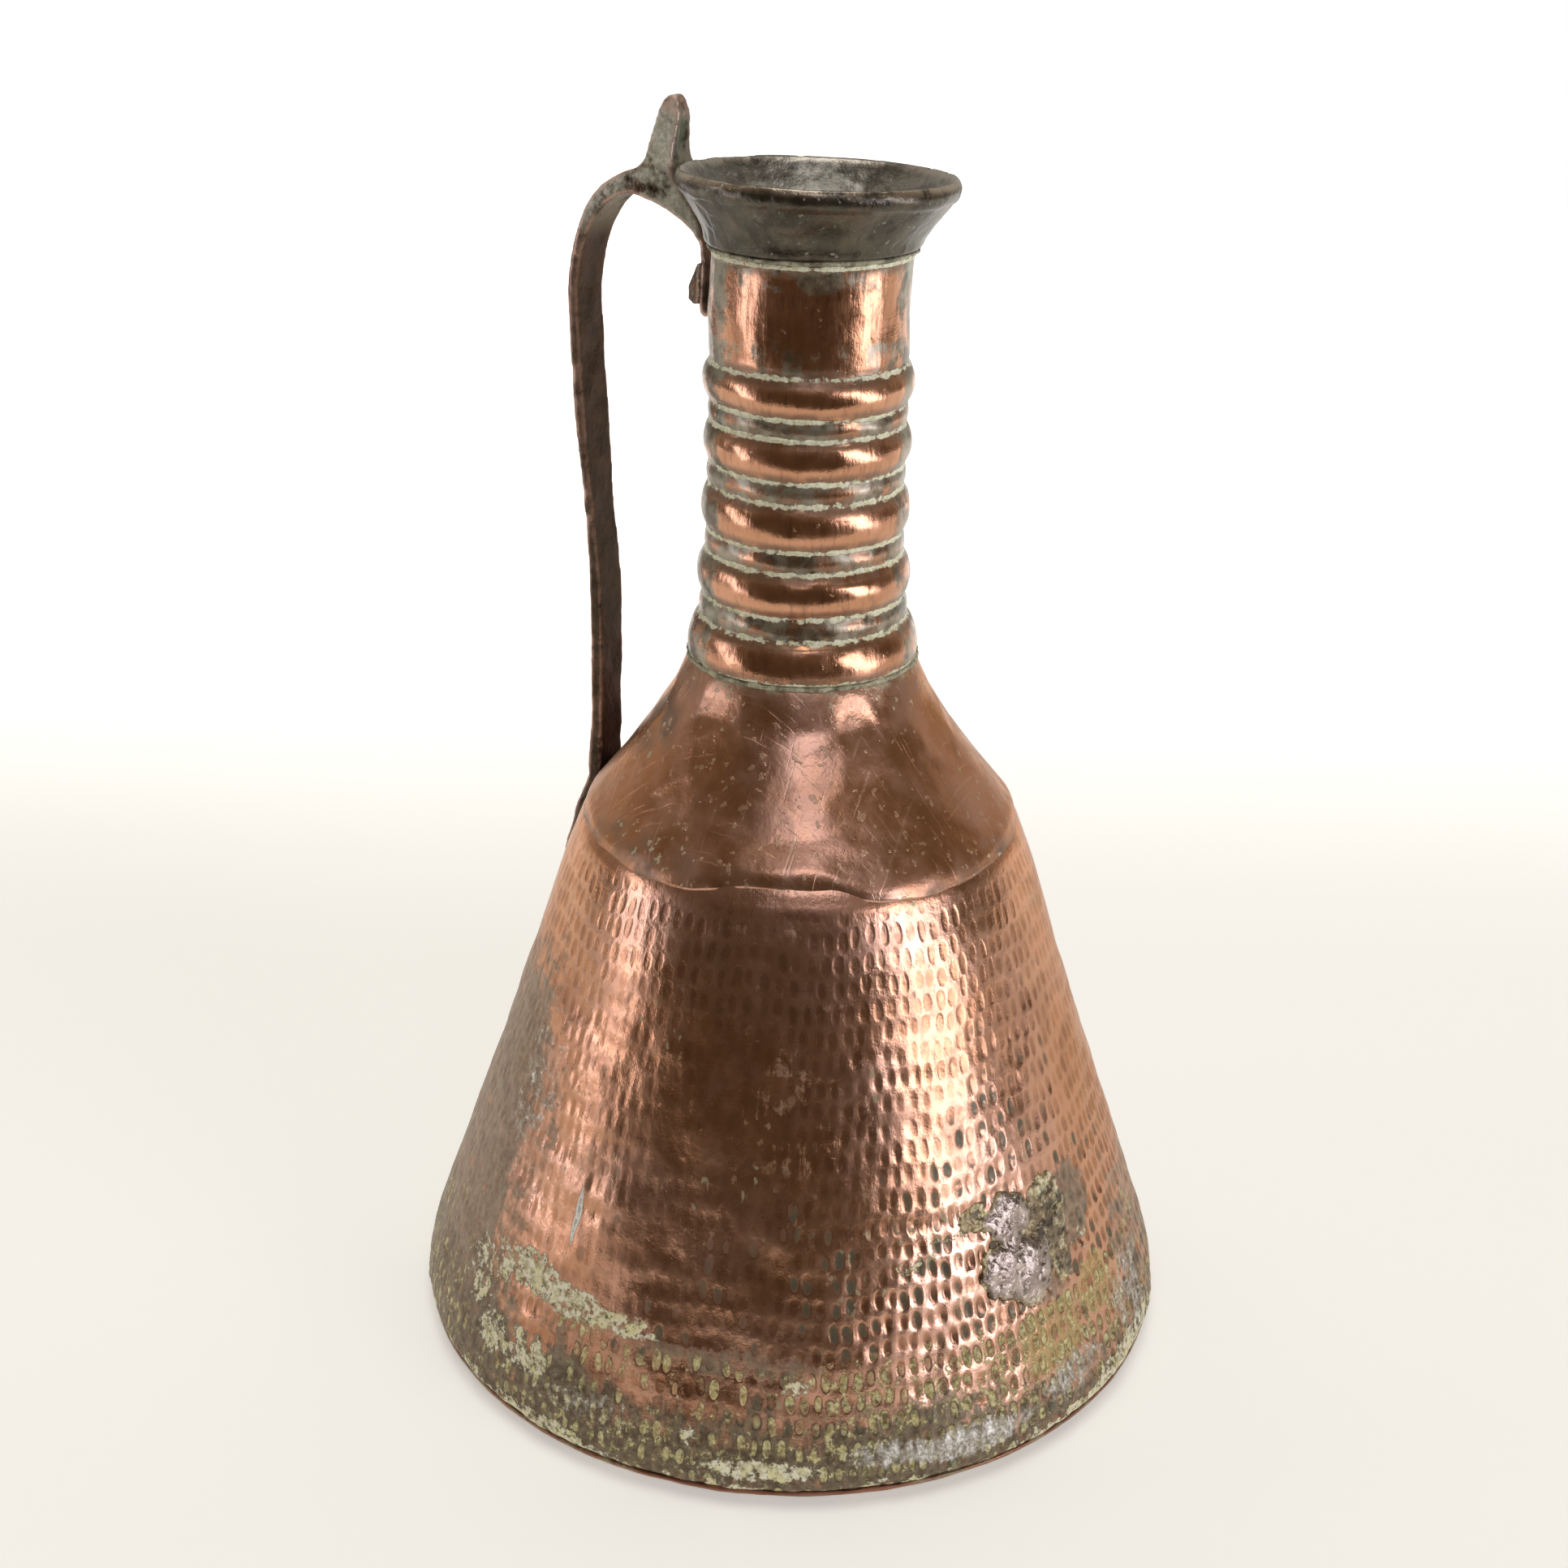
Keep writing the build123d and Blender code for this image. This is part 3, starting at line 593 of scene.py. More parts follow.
# -------------------------------------------------------------- the shoulder
LIP_D = np.array(LIP)
sh_outer = np.concatenate([
    soften(resample(LIP_D, 1.35), 3)[:-1],
    resample([(39.4, 264.4), (38.2, 267.6), (37.57, 274.6)], 1.6),
])
sh_in = offset_line(sh_outer, T)
keep = np.unique(np.concatenate([np.arange(0, len(sh_in), 5), [len(sh_in) - 1]]))
sh_profile = np.concatenate([sh_outer, sh_in[keep][::-1]])
sh_az = front_columns(400, 190, 100.0)
n_sh = len(sh_outer)


def facet(phi, z, seed, size_deg, size_z):
    """Broad hammer facets: distance field of scattered flats, 0..1."""
    rng = np.random.default_rng(seed)
    best = np.full(len(z), 9.0)
    second = np.full(len(z), 9.0)
    val = np.zeros(len(z))
    n_phi = int(360 / size_deg)
    rows = np.arange(196, 268, size_z)
    for k, zr in enumerate(rows):
        for j in range(n_phi):
            pc = -180 + 360 * (j + 0.5 * (k % 2)) / n_phi + rng.uniform(-0.35, 0.35) * size_deg
            zc = zr + rng.uniform(-0.35, 0.35) * size_z
            d = np.hypot(wrap(phi - pc) / size_deg, (z - zc) / size_z)
            closer = d < best
            second = np.where(closer, best, np.minimum(second, d))
            val = np.where(closer, rng.uniform(-1, 1), val)
            best = np.where(closer, d, best)
    return best, second, val


def sh_radial(r, z, a, nr, nz):
    phi = phi_np(a)
    p = np.stack([np.cos(a) * r, np.sin(a) * r, z], 1)
    best, second, val = facet(phi, z, 5, 19.0, 15.0)
    hollow = smooth(second - best, 0.0, 0.55)
    fade = smooth(z, 202, 208) * (1 - smooth(z, 256, 262))
    d = (-0.15 * hollow + 0.27 * val * hollow + 0.50 * fbm(p / 30.0, 2, 221)) * fade
    lip = (1 - smooth(z, 200.4, 203.5)) * (0.45 * fbm(np.stack([phi * 0.11, z * 0, z * 0 + 2], 1), 3, 222) - 0.25)
    small = (0.08 * fbm(p / 6.0, 2, 223) + 0.20 * fbm(p / 13.0, 2, 225)) * fade
    is_out = np.zeros_like(r, bool); is_out[: n_sh * len(sh_az)] = True
    return np.where(is_out, d + lip + small, -d - lip) * (1 - smooth(z, 262, 264.5))


def sh_along(r, z, a):
    phi = phi_np(a)
    return (1 - smooth(z, 200, 209)) * 1.5 * fbm(np.stack([phi * 0.055, z * 0, z * 0 + 5], 1), 3, 224)


def sh_slide(r, z, a):
    # the lap stops short of the turn in front, and its edge wanders
    phi = phi_np(a)
    k = (1 - smooth(z, 203, 222)) * (4.3 * bump(phi, -14, 6, 20) + 0.9 * fbm(np.stack([phi * 0.045, z * 0, z * 0 + 8], 1), 2, 226))
    sink = 0.62 * (1 - smooth(z, 201, 208)) * (1 - bump(phi, -30, 24, 16))
    return -0.74 * k - sink, k


def sh_attrs(r, z, a):
    phi = phi_np(a)
    p = np.stack([np.cos(a) * r, np.sin(a) * r, z], 1)
    inside = np.ones_like(r); inside[: n_sh * len(sh_az)] = 0.0
    f = fbm(p / 15.0, 3, 231)
    # lip: lap-edge mask for a painted highlight, strongest at the front
    lip = (1 - smooth(z, 201.2, 203.2)) * (0.15 + 0.85 * bump(phi, -24, 20, 14))
    dark = np.clip(blob(phi, z, -73.5, 240, 22, 12, 11) * 0.9 + 0.8 * blob(phi, z, -46, 206, 26, 9, 12) + 0.45 * blob(phi, z, 52, 204, 20, 6, 13) + 0.75 * (1 - smooth(z, 201, 205.5)) * (1 - bump(phi, -24, 24, 12)) + 0.6 * smooth(z, 246, 262) * (0.75 + f) + 0.45 * smooth(np.abs(phi), 62, 100), 0, 1)
    return dict(inside=inside, lip=lip, dark=dark, rub=np.clip(0.55 + 0.6 * f, 0, 1),
                crust=np.clip(0.9 * smooth(z, 259.5, 263) * (0.6 + f), 0, 1))


shoulder = revolve("shoulder_sheet", sh_profile, sh_az, radial=sh_radial, along=sh_along, attrs=sh_attrs, slide=sh_slide)

# ------------------------------------------------------------------ the neck
neck_pts = [(39.4, 264.4), (40.8, 264.8)]
neck_pts += list(map(tuple, arc3((40.8, 264.8), (40.6, 271.5), (38.6, 277.2), 9)[1:]))
neck_pts.append(GROOVES[0])
for (g0, g1, cr) in zip(GROOVES[:-1], GROOVES[1:], CRESTS):
    neck_pts += list(map(tuple, arc3(g0, cr, g1, 13)[1:]))
neck_pts += [(34.0, 371.5), (34.05, 390.0), (34.0, 411.5)]
neck_outer = resample(neck_pts, 0.72)
neck_in = offset_line(neck_outer, T)
# inside of the beads is softer
for _ in range(6):
    neck_in[1:-1] = 0.25 * neck_in[:-2] + 0.5 * neck_in[1:-1] + 0.25 * neck_in[2:]
keep = np.unique(np.concatenate([np.arange(0, len(neck_in), 5), [len(neck_in) - 1]]))
neck_profile = np.concatenate([neck_outer, neck_in[keep][::-1]])
neck_az = front_columns(248, 92, 100.0)
n_nk = len(neck_outer)
GROOVE_Z = np.array([264.6] + [q[1] for q in GROOVES] + [404.8])


def near_groove(z, width=1.6):
    d = np.abs(z[:, None] - GROOVE_Z[None, :]).min(1)
    return 1 - smooth(d, width * 0.40, width)


def neck_radial(r, z, a, nr, nz):
    phi = phi_np(a)
    p = np.stack([np.cos(a) * r, np.sin(a) * r, z], 1)
    d = 0.40 * fbm(p / 22.0, 2, 241) + 0.16 * fbm(p / 7.0, 2, 242)
    # each bead was chased by hand: flats and small steps along it
    bead = smooth(z, 281, 284) * (1 - smooth(z, 366, 369))
    flats = 0.16 * bead * fbm(np.stack([phi * 0.075, np.floor(z / 11.5) * 3.7, z * 0], 1), 2, 243)
    crust = near_groove(z, 1.3) * (0.22 + 0.35 * fbm(p / 2.6, 2, 244))
    strokes = 0.05 * fbm(np.stack([phi * 0.34, z / 24.0, z * 0 + 1], 1), 2, 245) * smooth(z, 366, 372)
    is_out = np.zeros_like(r, bool); is_out[: n_nk * len(neck_az)] = True
    ends = smooth(z, 265.0, 268.0) * (1 - smooth(z, 404, 407))
    return np.where(is_out, d + flats + crust + strokes, -d) * ends


def neck_along(r, z, a):
    phi = phi_np(a)
    return smooth(z, 268, 282) * (1 - smooth(z, 364, 372)) * 0.35 * fbm(np.stack([phi * 0.02, z / 40.0, z * 0], 1), 2, 246)


def neck_attrs(r, z, a):
    phi = phi_np(a)
    p = np.stack([np.cos(a) * r, np.sin(a) * r, z], 1)
    inside = np.ones_like(r); inside[: n_nk * len(neck_az)] = 0.0
    f = fbm(p / 8.0, 3, 251)
    crust = np.clip(near_groove(z, 1.25) * (0.95 + 0.9 * f), 0, 1)
    left = np.clip(bump(phi, -140, -58, 9) * (0.85 + 0.7 * f) + 0.80 * bump(phi, 64, 140, 9) * (0.85 + 0.7 * f), 0, 1)
    groove_dark = np.clip(near_groove(z, 4.2) * 0.9, 0, 1)
    bead = smooth(z, 279, 283) * (1 - smooth(z, 366, 369))
    narrow = np.zeros_like(z)
    for lo, hi in ((279.1, 287.0), (302.6, 310.2), (326.4, 333.9), (348.4, 355.2)):
        narrow = np.maximum(narrow, bump(z, lo, hi, 1.2))
    narrow = np.maximum(narrow * (0.78 + 0.5 * f), 0.55 * bump(z, 371, 378, 5) * (0.7 + f))
    narrow = np.maximum(narrow, 0.72 * bump(z, 398.5, 406, 3.0) * (0.75 + 0.8 * f))
    return dict(inside=inside, crust=crust, side=left, groove=groove_dark, bead=bead, rub=np.clip(0.5 + 0.8 * f, 0, 1), narrow=np.clip(narrow, 0, 1))


neck = revolve("neck_beaded_tube", neck_profile, neck_az, radial=neck_radial, along=neck_along, attrs=neck_attrs)

# ---------------------------------------------------------------- the collar
col_pts = [(34.0, 407.2), (35.6, 407.2), (36.5, 408.0), (37.1, 410.8), (38.9, 413.9), (41.8, 418.0), (45.0, 422.7)]
col_lip = arc3((45.0, 422.7), (47.3, 426.9), (45.8, 430.0), 12)
col_in = [(44.8, 429.4), (42.2, 426.0), (38.4, 421.6), (34.4, 417.8), (31.6, 415.0), (31.6, 411.5), (34.0, 411.5)]
col_profile = np.concatenate([
    soften(resample(col_pts, 0.9), 1)[:-1], col_lip[:-1],
    soften(resample([tuple(col_lip[-1])] + col_in[:-1], 0.9), 2), resample([(31.6, 411.5), (34.0, 411.5)], 1.2)[1:],
    resample([(34.0, 411.5), (34.0, 407.2)], 1.4)[1:-1]])
col_az = front_columns(280, 130, 100.0)


def col_radial(r, z, a, nr, nz):
    phi = phi_np(a)
    p = np.stack([np.cos(a) * r, np.sin(a) * r, z], 1)
    d = 0.34 * fbm(p / 13.0, 2, 261) + 0.16 * fbm(p / 4.2, 3, 262)
    d = d - 0.25 * smooth(fbm(p / 5.0, 2, 263), 0.25, 0.6)
    return d * smooth(np.abs(r - 33.4), 0.5, 2.2) * smooth(z, 407.3, 409.0)


def col_attrs(r, z, a):
    p = np.stack([np.cos(a) * r, np.sin(a) * r, z], 1)
    f = fbm(p / 7.0, 3, 271)
    return dict(rim=smooth(z, 427.2, 429.2), funnel=smooth(-nrm_in(r, z), 0.0, 0.1), crust=np.clip(0.3 + 0.9 * f, 0, 1),
                rub=np.clip(0.5 + f, 0, 1))


def nrm_in(r, z):
    """Positive outside, negative in the funnel."""
    line = np.interp(z, [407.0, 411.5, 415.0, 417.8, 421.6, 426.0, 429.4], [34.0, 33.5, 33.6, 36.0, 40.2, 44.4, 46.0])
    return r - line


collar = revolve("mouth_collar_casting", col_profile, col_az, radial=col_radial, tilt=lambda z: smooth(z, 409, 413), attrs=col_attrs)


# --------------------------------------------------------------- seam solder
def solder_ring(name, pts, az_n, lump, seed):
    prof = soften(np.array(pts, float), 0)
    az = front_columns(*az_n, 100.0)

    def rad(r, z, a, nr, nz):
        p = np.stack([np.cos(a) * r, np.sin(a) * r, z], 1)
        return lump * (0.9 * fbm(p / 3.0, 3, seed) + 0.6 * fbm(p / 11.0, 2, seed + 1))

    def att(r, z, a):
        p = np.stack([np.cos(a) * r, np.sin(a) * r, z], 1)
        return dict(crust=np.clip(0.6 + fbm(p / 4.0, 3, seed + 2), 0, 1))
    return revolve(name, prof, az, radial=rad, attrs=att)


def oval(rc, zc, hr, hz, tilt, n=14):
    t = np.linspace(0, TAU, n, endpoint=False)
    x, y = hr * np.cos(t), hz * np.sin(t)
    c, s = math.cos(tilt), math.sin(tilt)
    return [(rc + c * i - s * j, zc + s * i + c * j) for i, j in zip(x, y)]


neck_solder = solder_ring("neck_seam_bead", oval(40.3, 263.5, 1.35, 0.95, 0.6), (250, 110), 0.55, 301)
collar_solder = solder_ring("collar_seam_bead", oval(34.7, 406.4, 0.95, 0.85, 0.3), (230, 100), 0.42, 311)
shoulder_solder = solder_ring("shoulder_seam_bead", oval(67.9, 215.2, 1.5, 1.4, -0.7), (200, 100), 0.25, 321)
base_solder = solder_ring("base_seam_bead", oval(128.6, 4.9, 1.6, 0.85, 0.1), (200, 100), 0.18, 331)


# ---------------------------------------------------------- the repair plate
def wall_line(z):
    return np.interp(z, [w[1] for w in WALL], [w[0] for w in WALL])


def build_repair():
    step = 0.5
    us = np.arange(-25, 36.01, step)
    vs = np.arange(46, 101.01, step)
    U, V = np.meshgrid(us, vs)
    u, v = U.ravel(), V.ravel()
    p2 = np.stack([u / 6.0, v / 6.0, np.full_like(u, 7.7)], 1)
    warp = 3.4 * fbm(p2, 3, 401)
    warp2 = 3.4 * fbm(p2 + 31.0, 3, 402)

    def lobe(cu, cv, hu, hv, top, power=0.55):
        d = 1 - np.hypot((u + warp - cu) / hu, (v + warp2 - cv) / hv) ** 2
        return top * np.clip(d, 0, 1) ** power
    lobes = np.maximum.reduce([lobe(1.5, 85.2, 10.5, 9.8, 1.9), lobe(-4.5, 87.5, 7, 6, 1.5), lobe(-3.5, 68.5, 12.5, 10.5, 2.2), lobe(6.5, 66.0, 13.0, 11.5, 2.3), lobe(1.0, 76.0, 8, 6, 1.6)])
    thin = np.maximum.reduce([lobe(20, 77, 11.5, 17.5, 1.0), lobe(-12.5, 90, 6.5, 5.0, 0.9), lobe(24, 62, 6, 7, 0.8)])
    pits = smooth(fbm(np.stack([u / 1.7, v / 1.7, u * 0 + 3], 1), 2, 403), 0.28, 0.62)
    lumps = fbm(np.stack([u / 4.5, v / 4.5, u * 0 + 1], 1), 3, 404)
    h = np.maximum(lobes, thin)
    body = smooth(h, 0.0, 0.8)
    h = h + body * (0.38 * lumps - 0.38 * pits + 0.28 * (h > 0) * (thin > lobes) * fbm(np.stack([u / 2.1, v / 2.1, u * 0], 1), 2, 405))
    h = np.where(np.maximum(lobes, thin) > 0.02, np.maximum(h, 0.06), 0)
    rows, cols = U.shape
    r = wall_line(v)
    phi = 39.3 + np.degrees(u / r)
    nr, nz = 0.945, 0.327
    a = np.radians(phi) + FRONT
    dents = wall_dents(phi, v, r, np.stack([np.cos(a) * r, np.sin(a) * r, v], 1))

    def surface(d):
        rr, zz = r + nr * d, v + nz * d
        return np.stack([rr * np.cos(a), rr * np.sin(a), zz], 1)
    top, bottom = surface(dents + h - 0.05), surface(dents * 0.0 - 1.1)
    H = h.reshape(rows, cols)
    cell = (H[:-1, :-1] > 0) & (H[1:, :-1] > 0) & (H[:-1, 1:] > 0) & (H[1:, 1:] > 0)
    # keep the largest connected set of cells
    lab = np.zeros(cell.shape, int)
    best, k = 0, 0
    for i0, j0 in zip(*np.nonzero(cell)):
        if lab[i0, j0]: continue
        k += 1
        stack, count = [(i0, j0)], 0
        lab[i0, j0] = k
        while stack:
            i, j = stack.pop(); count += 1
            for di, dj in ((1, 0), (-1, 0), (0, 1), (0, -1)):
                x, y = i + di, j + dj
                if 0 <= x < cell.shape[0] and 0 <= y < cell.shape[1] and cell[x, y] and not lab[x, y]:
                    lab[x, y] = k; stack.append((x, y))
        if count > best: best, keep_lab = count, k
    cell &= lab == keep_lab
    I, J = np.nonzero(cell)
    q = lambda i, j: i * cols + j
    n = rows * cols
    tops = np.stack([q(I, J), q(I, J + 1), q(I + 1, J + 1), q(I + 1, J)], 1)
    bots = tops[:, ::-1] + n
    sides = []
    pad = np.pad(cell, 1)
    for (di, dj, a0, a1) in ((-1, 0, (0, 0), (0, 1)), (0, 1, (0, 1), (1, 1)), (1, 0, (1, 1), (1, 0)), (0, -1, (1, 0), (0, 0))):
        m = cell & ~pad[1 + di:pad.shape[0] - 1 + di, 1 + dj:pad.shape[1] - 1 + dj]
        i, j = np.nonzero(m)
        s, e = q(i + a0[0], j + a0[1]), q(i + a1[0], j + a1[1])
        sides.append(np.stack([e, s, s + n, e + n], 1))
    faces = np.concatenate([tops, bots] + sides)
    used, inv = np.unique(faces, return_inverse=True)
    faces = inv.reshape(faces.shape)
    pts = place(np.concatenate([top, bottom]))[used]
    two = lambda x: np.concatenate([x, x])[used]
    shiny = smooth(lobes, 0.5, 1.3)
    attrs = dict(shiny=two(shiny), pit=two(pits), lump=two(0.5 + 0.5 * lumps),
                 crust=two(np.clip(1 - smooth(v, 53, 60) + 0.9 * (u < -7) * (1 - smooth(lobes, 0.4, 1.2)) + 0.85 * (1 - smooth(h, 0.35, 1.0)) * (1 - smooth(lobes, 0.9, 1.6)), 0, 1)))
    return outward(make_mesh("repair_lump", pts, faces, attrs))


repair = build_repair()


# --------------------------------------------- forged pieces from CAD solids
def relax(co, edges, iters, lam=0.5):
    n = len(co)
    deg = np.bincount(edges.ravel(), minlength=n).astype(float)
    deg[deg == 0] = 1
    out = co.copy()
    for _ in range(iters):
        s = np.zeros_like(out)
        for k in range(3):
            s[:, k] = np.bincount(edges[:, 0], out[edges[:, 1], k], n) + np.bincount(edges[:, 1], out[edges[:, 0], k], n)
        out = out * (1 - lam) + lam * s / deg[:, None]
    return out


def forged(name, node, voxel_mm, iters, noise, edge_iters=14, sway_it=True, floor=None):
    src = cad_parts[node]
    tmp = bpy.data.objects.new("tmp_" + name, src.data.copy())
    bpy.context.collection.objects.link(tmp)
    m = tmp.modifiers.new("r", "REMESH"); m.mode = "VOXEL"; m.voxel_size = voxel_mm * MM; m.adaptivity = 0
    dg = bpy.context.evaluated_depsgraph_get()
    me = bpy.data.meshes.new_from_object(tmp.evaluated_get(dg))
    me.name = name
    old = tmp.data
    bpy.data.objects.remove(tmp)
    bpy.data.meshes.remove(old)
    me.materials.clear()
    n = len(me.vertices)
    co = np.empty(n * 3, np.float32); me.vertices.foreach_get("co", co)
    co = co.reshape(-1, 3).astype(float) / MM
    ed = np.empty(len(me.edges) * 2, np.int32); me.edges.foreach_get("vertices", ed); ed = ed.reshape(-1, 2)
    co = relax(co, ed, iters)
    me.vertices.foreach_set("co", (co * MM).astype(np.float32).ravel()); me.update()
    nrm = np.empty(n * 3, np.float32); me.vertices.foreach_get("normal", nrm); nrm = nrm.reshape(-1, 3).astype(float)
    soft = relax(co, ed, edge_iters, 0.6)
    edge = np.einsum("ij,ij->i", co - soft, nrm)
    co2 = co + nrm * noise(co, nrm)[:, None]
    if sway_it:
        co2 = place(co2)
    me.vertices.foreach_set("co", (co2 * MM).astype(np.float32).ravel()); me.update()
    me.polygons.foreach_set("use_smooth", np.ones(len(me.polygons), bool))
    ob = bpy.data.objects.new(name, me)
    bpy.context.collection.objects.link(ob)
    return ob, co, nrm, edge


def add_attr(ob, key, val):
    at = ob.data.attributes.new(key, "FLOAT", "POINT")
    at.data.foreach_set("value", np.clip(val, 0, 1).astype(np.float32))


def handle_noise(co, nrm):
    s = -co[:, 0]
    body = fbm(co / 26.0, 2, 501) * 0.42 + fbm(co / 7.5, 2, 502) * 0.20 + fbm(co / 2.6, 2, 503) * 0.075
    facets = 0.28 * vnoise(np.stack([co[:, 2] / 13.0, co[:, 1] / 9.0, s / 14.0], 1), 504)
    prong = smooth(co[:, 2], 428, 436)
    groove = -1.0 * prong * np.exp(-((co[:, 1] + 0.8) / 1.3) ** 2) * (np.abs(nrm[:, 0]) > 0.4) * (1 - smooth(co[:, 2], 444, 449))
    near_neck = 1 - smooth(s, 36.5, 39.5)
    near_wall = (1 - smooth(co[:, 2], 200, 214)) * (nrm[:, 0] > 0.2)
    return (body + facets + groove) * (1 - near_neck) * (1 - near_wall)


handle, hc, hn, he = forged("handle_forging", "handle", 0.62, 5, handle_noise)
s_h = -hc[:, 0]
add_attr(handle, "edge", smooth(he, 0.10, 0.50))
add_attr(handle, "hollow", smooth(-he, 0.06, 0.32))
add_attr(handle, "outer", smooth(-hn[:, 0], 0.25, 0.8))
add_attr(handle, "inner", smooth(hn[:, 0], 0.2, 0.7))
add_attr(handle, "arm", smooth(hc[:, 2], 398, 420))
add_attr(handle, "prong", smooth(hc[:, 2], 427, 434))
add_attr(handle, "groove", smooth(hc[:, 2], 428, 436) * np.exp(-((hc[:, 1] + 0.8) / 1.7) ** 2) * (1 - smooth(hc[:, 2], 443, 448)))
add_attr(handle, "tip", smooth(hc[:, 2], 442, 449))
add_attr(handle, "foot", 1 - smooth(hc[:, 2], 196, 212))


def rivet_noise(seed, amp):
    return lambda co, nrm: amp * (fbm(co / 4.2, 2, seed) + 0.45 * fbm(co / 1.6, 2, seed + 1))


def keep_attr(ob, he):
    add_attr(ob, "edge", smooth(he, 0.05, 0.28))
    add_attr(ob, "hollow", smooth(-he, 0.03, 0.2))


neck_rivet, rc, rn, re_ = forged("neck_rivet_wedge", "neck_rivet", 0.30, 3, rivet_noise(521, 0.22)); keep_attr(neck_rivet, re_)
foot_rivets, rc, rn, re_ = forged("foot_rivet_heads", "handle_foot_rivets", 0.30, 3, rivet_noise(531, 0.20)); keep_attr(foot_rivets, re_)
neck_rove, rc, rn, re_ = forged("neck_rivet_washer", "neck_rivet_rove", 0.30, 2, rivet_noise(541, 0.10)); keep_attr(neck_rove, re_)
foot_roves, rc, rn, re_ = forged("foot_rivet_washers", "handle_foot_roves", 0.30, 2, rivet_noise(551, 0.10)); keep_attr(foot_roves, re_)

# ------------------------------------------------------------------ colours
CLEAN = (0.60, 0.335, 0.240)
BROWN = (0.50, 0.245, 0.135)
DEEP = (0.21, 0.100, 0.060)
GREYGREEN = (0.095, 0.088, 0.052)
OLIVE = (0.30, 0.265, 0.125)
CREAM = (0.62, 0.56, 0.39)
PALEGREEN = (0.40, 0.41, 0.27)
SOLDER = (0.50, 0.415, 0.365)
DIRT = (0.045, 0.038, 0.024)


def cover(g, amount, n, lo=0.30, hi=0.70, soft=0.14):
    """Mask that covers more of the surface as amount goes from 0 to 1."""
    return g.mul(g.step(g.add(amount, g.lin(n, lo, hi, 0.0, 1.0)), 1.0 - soft, 1.0 + soft), g.step(amount, 0.01, 0.13))


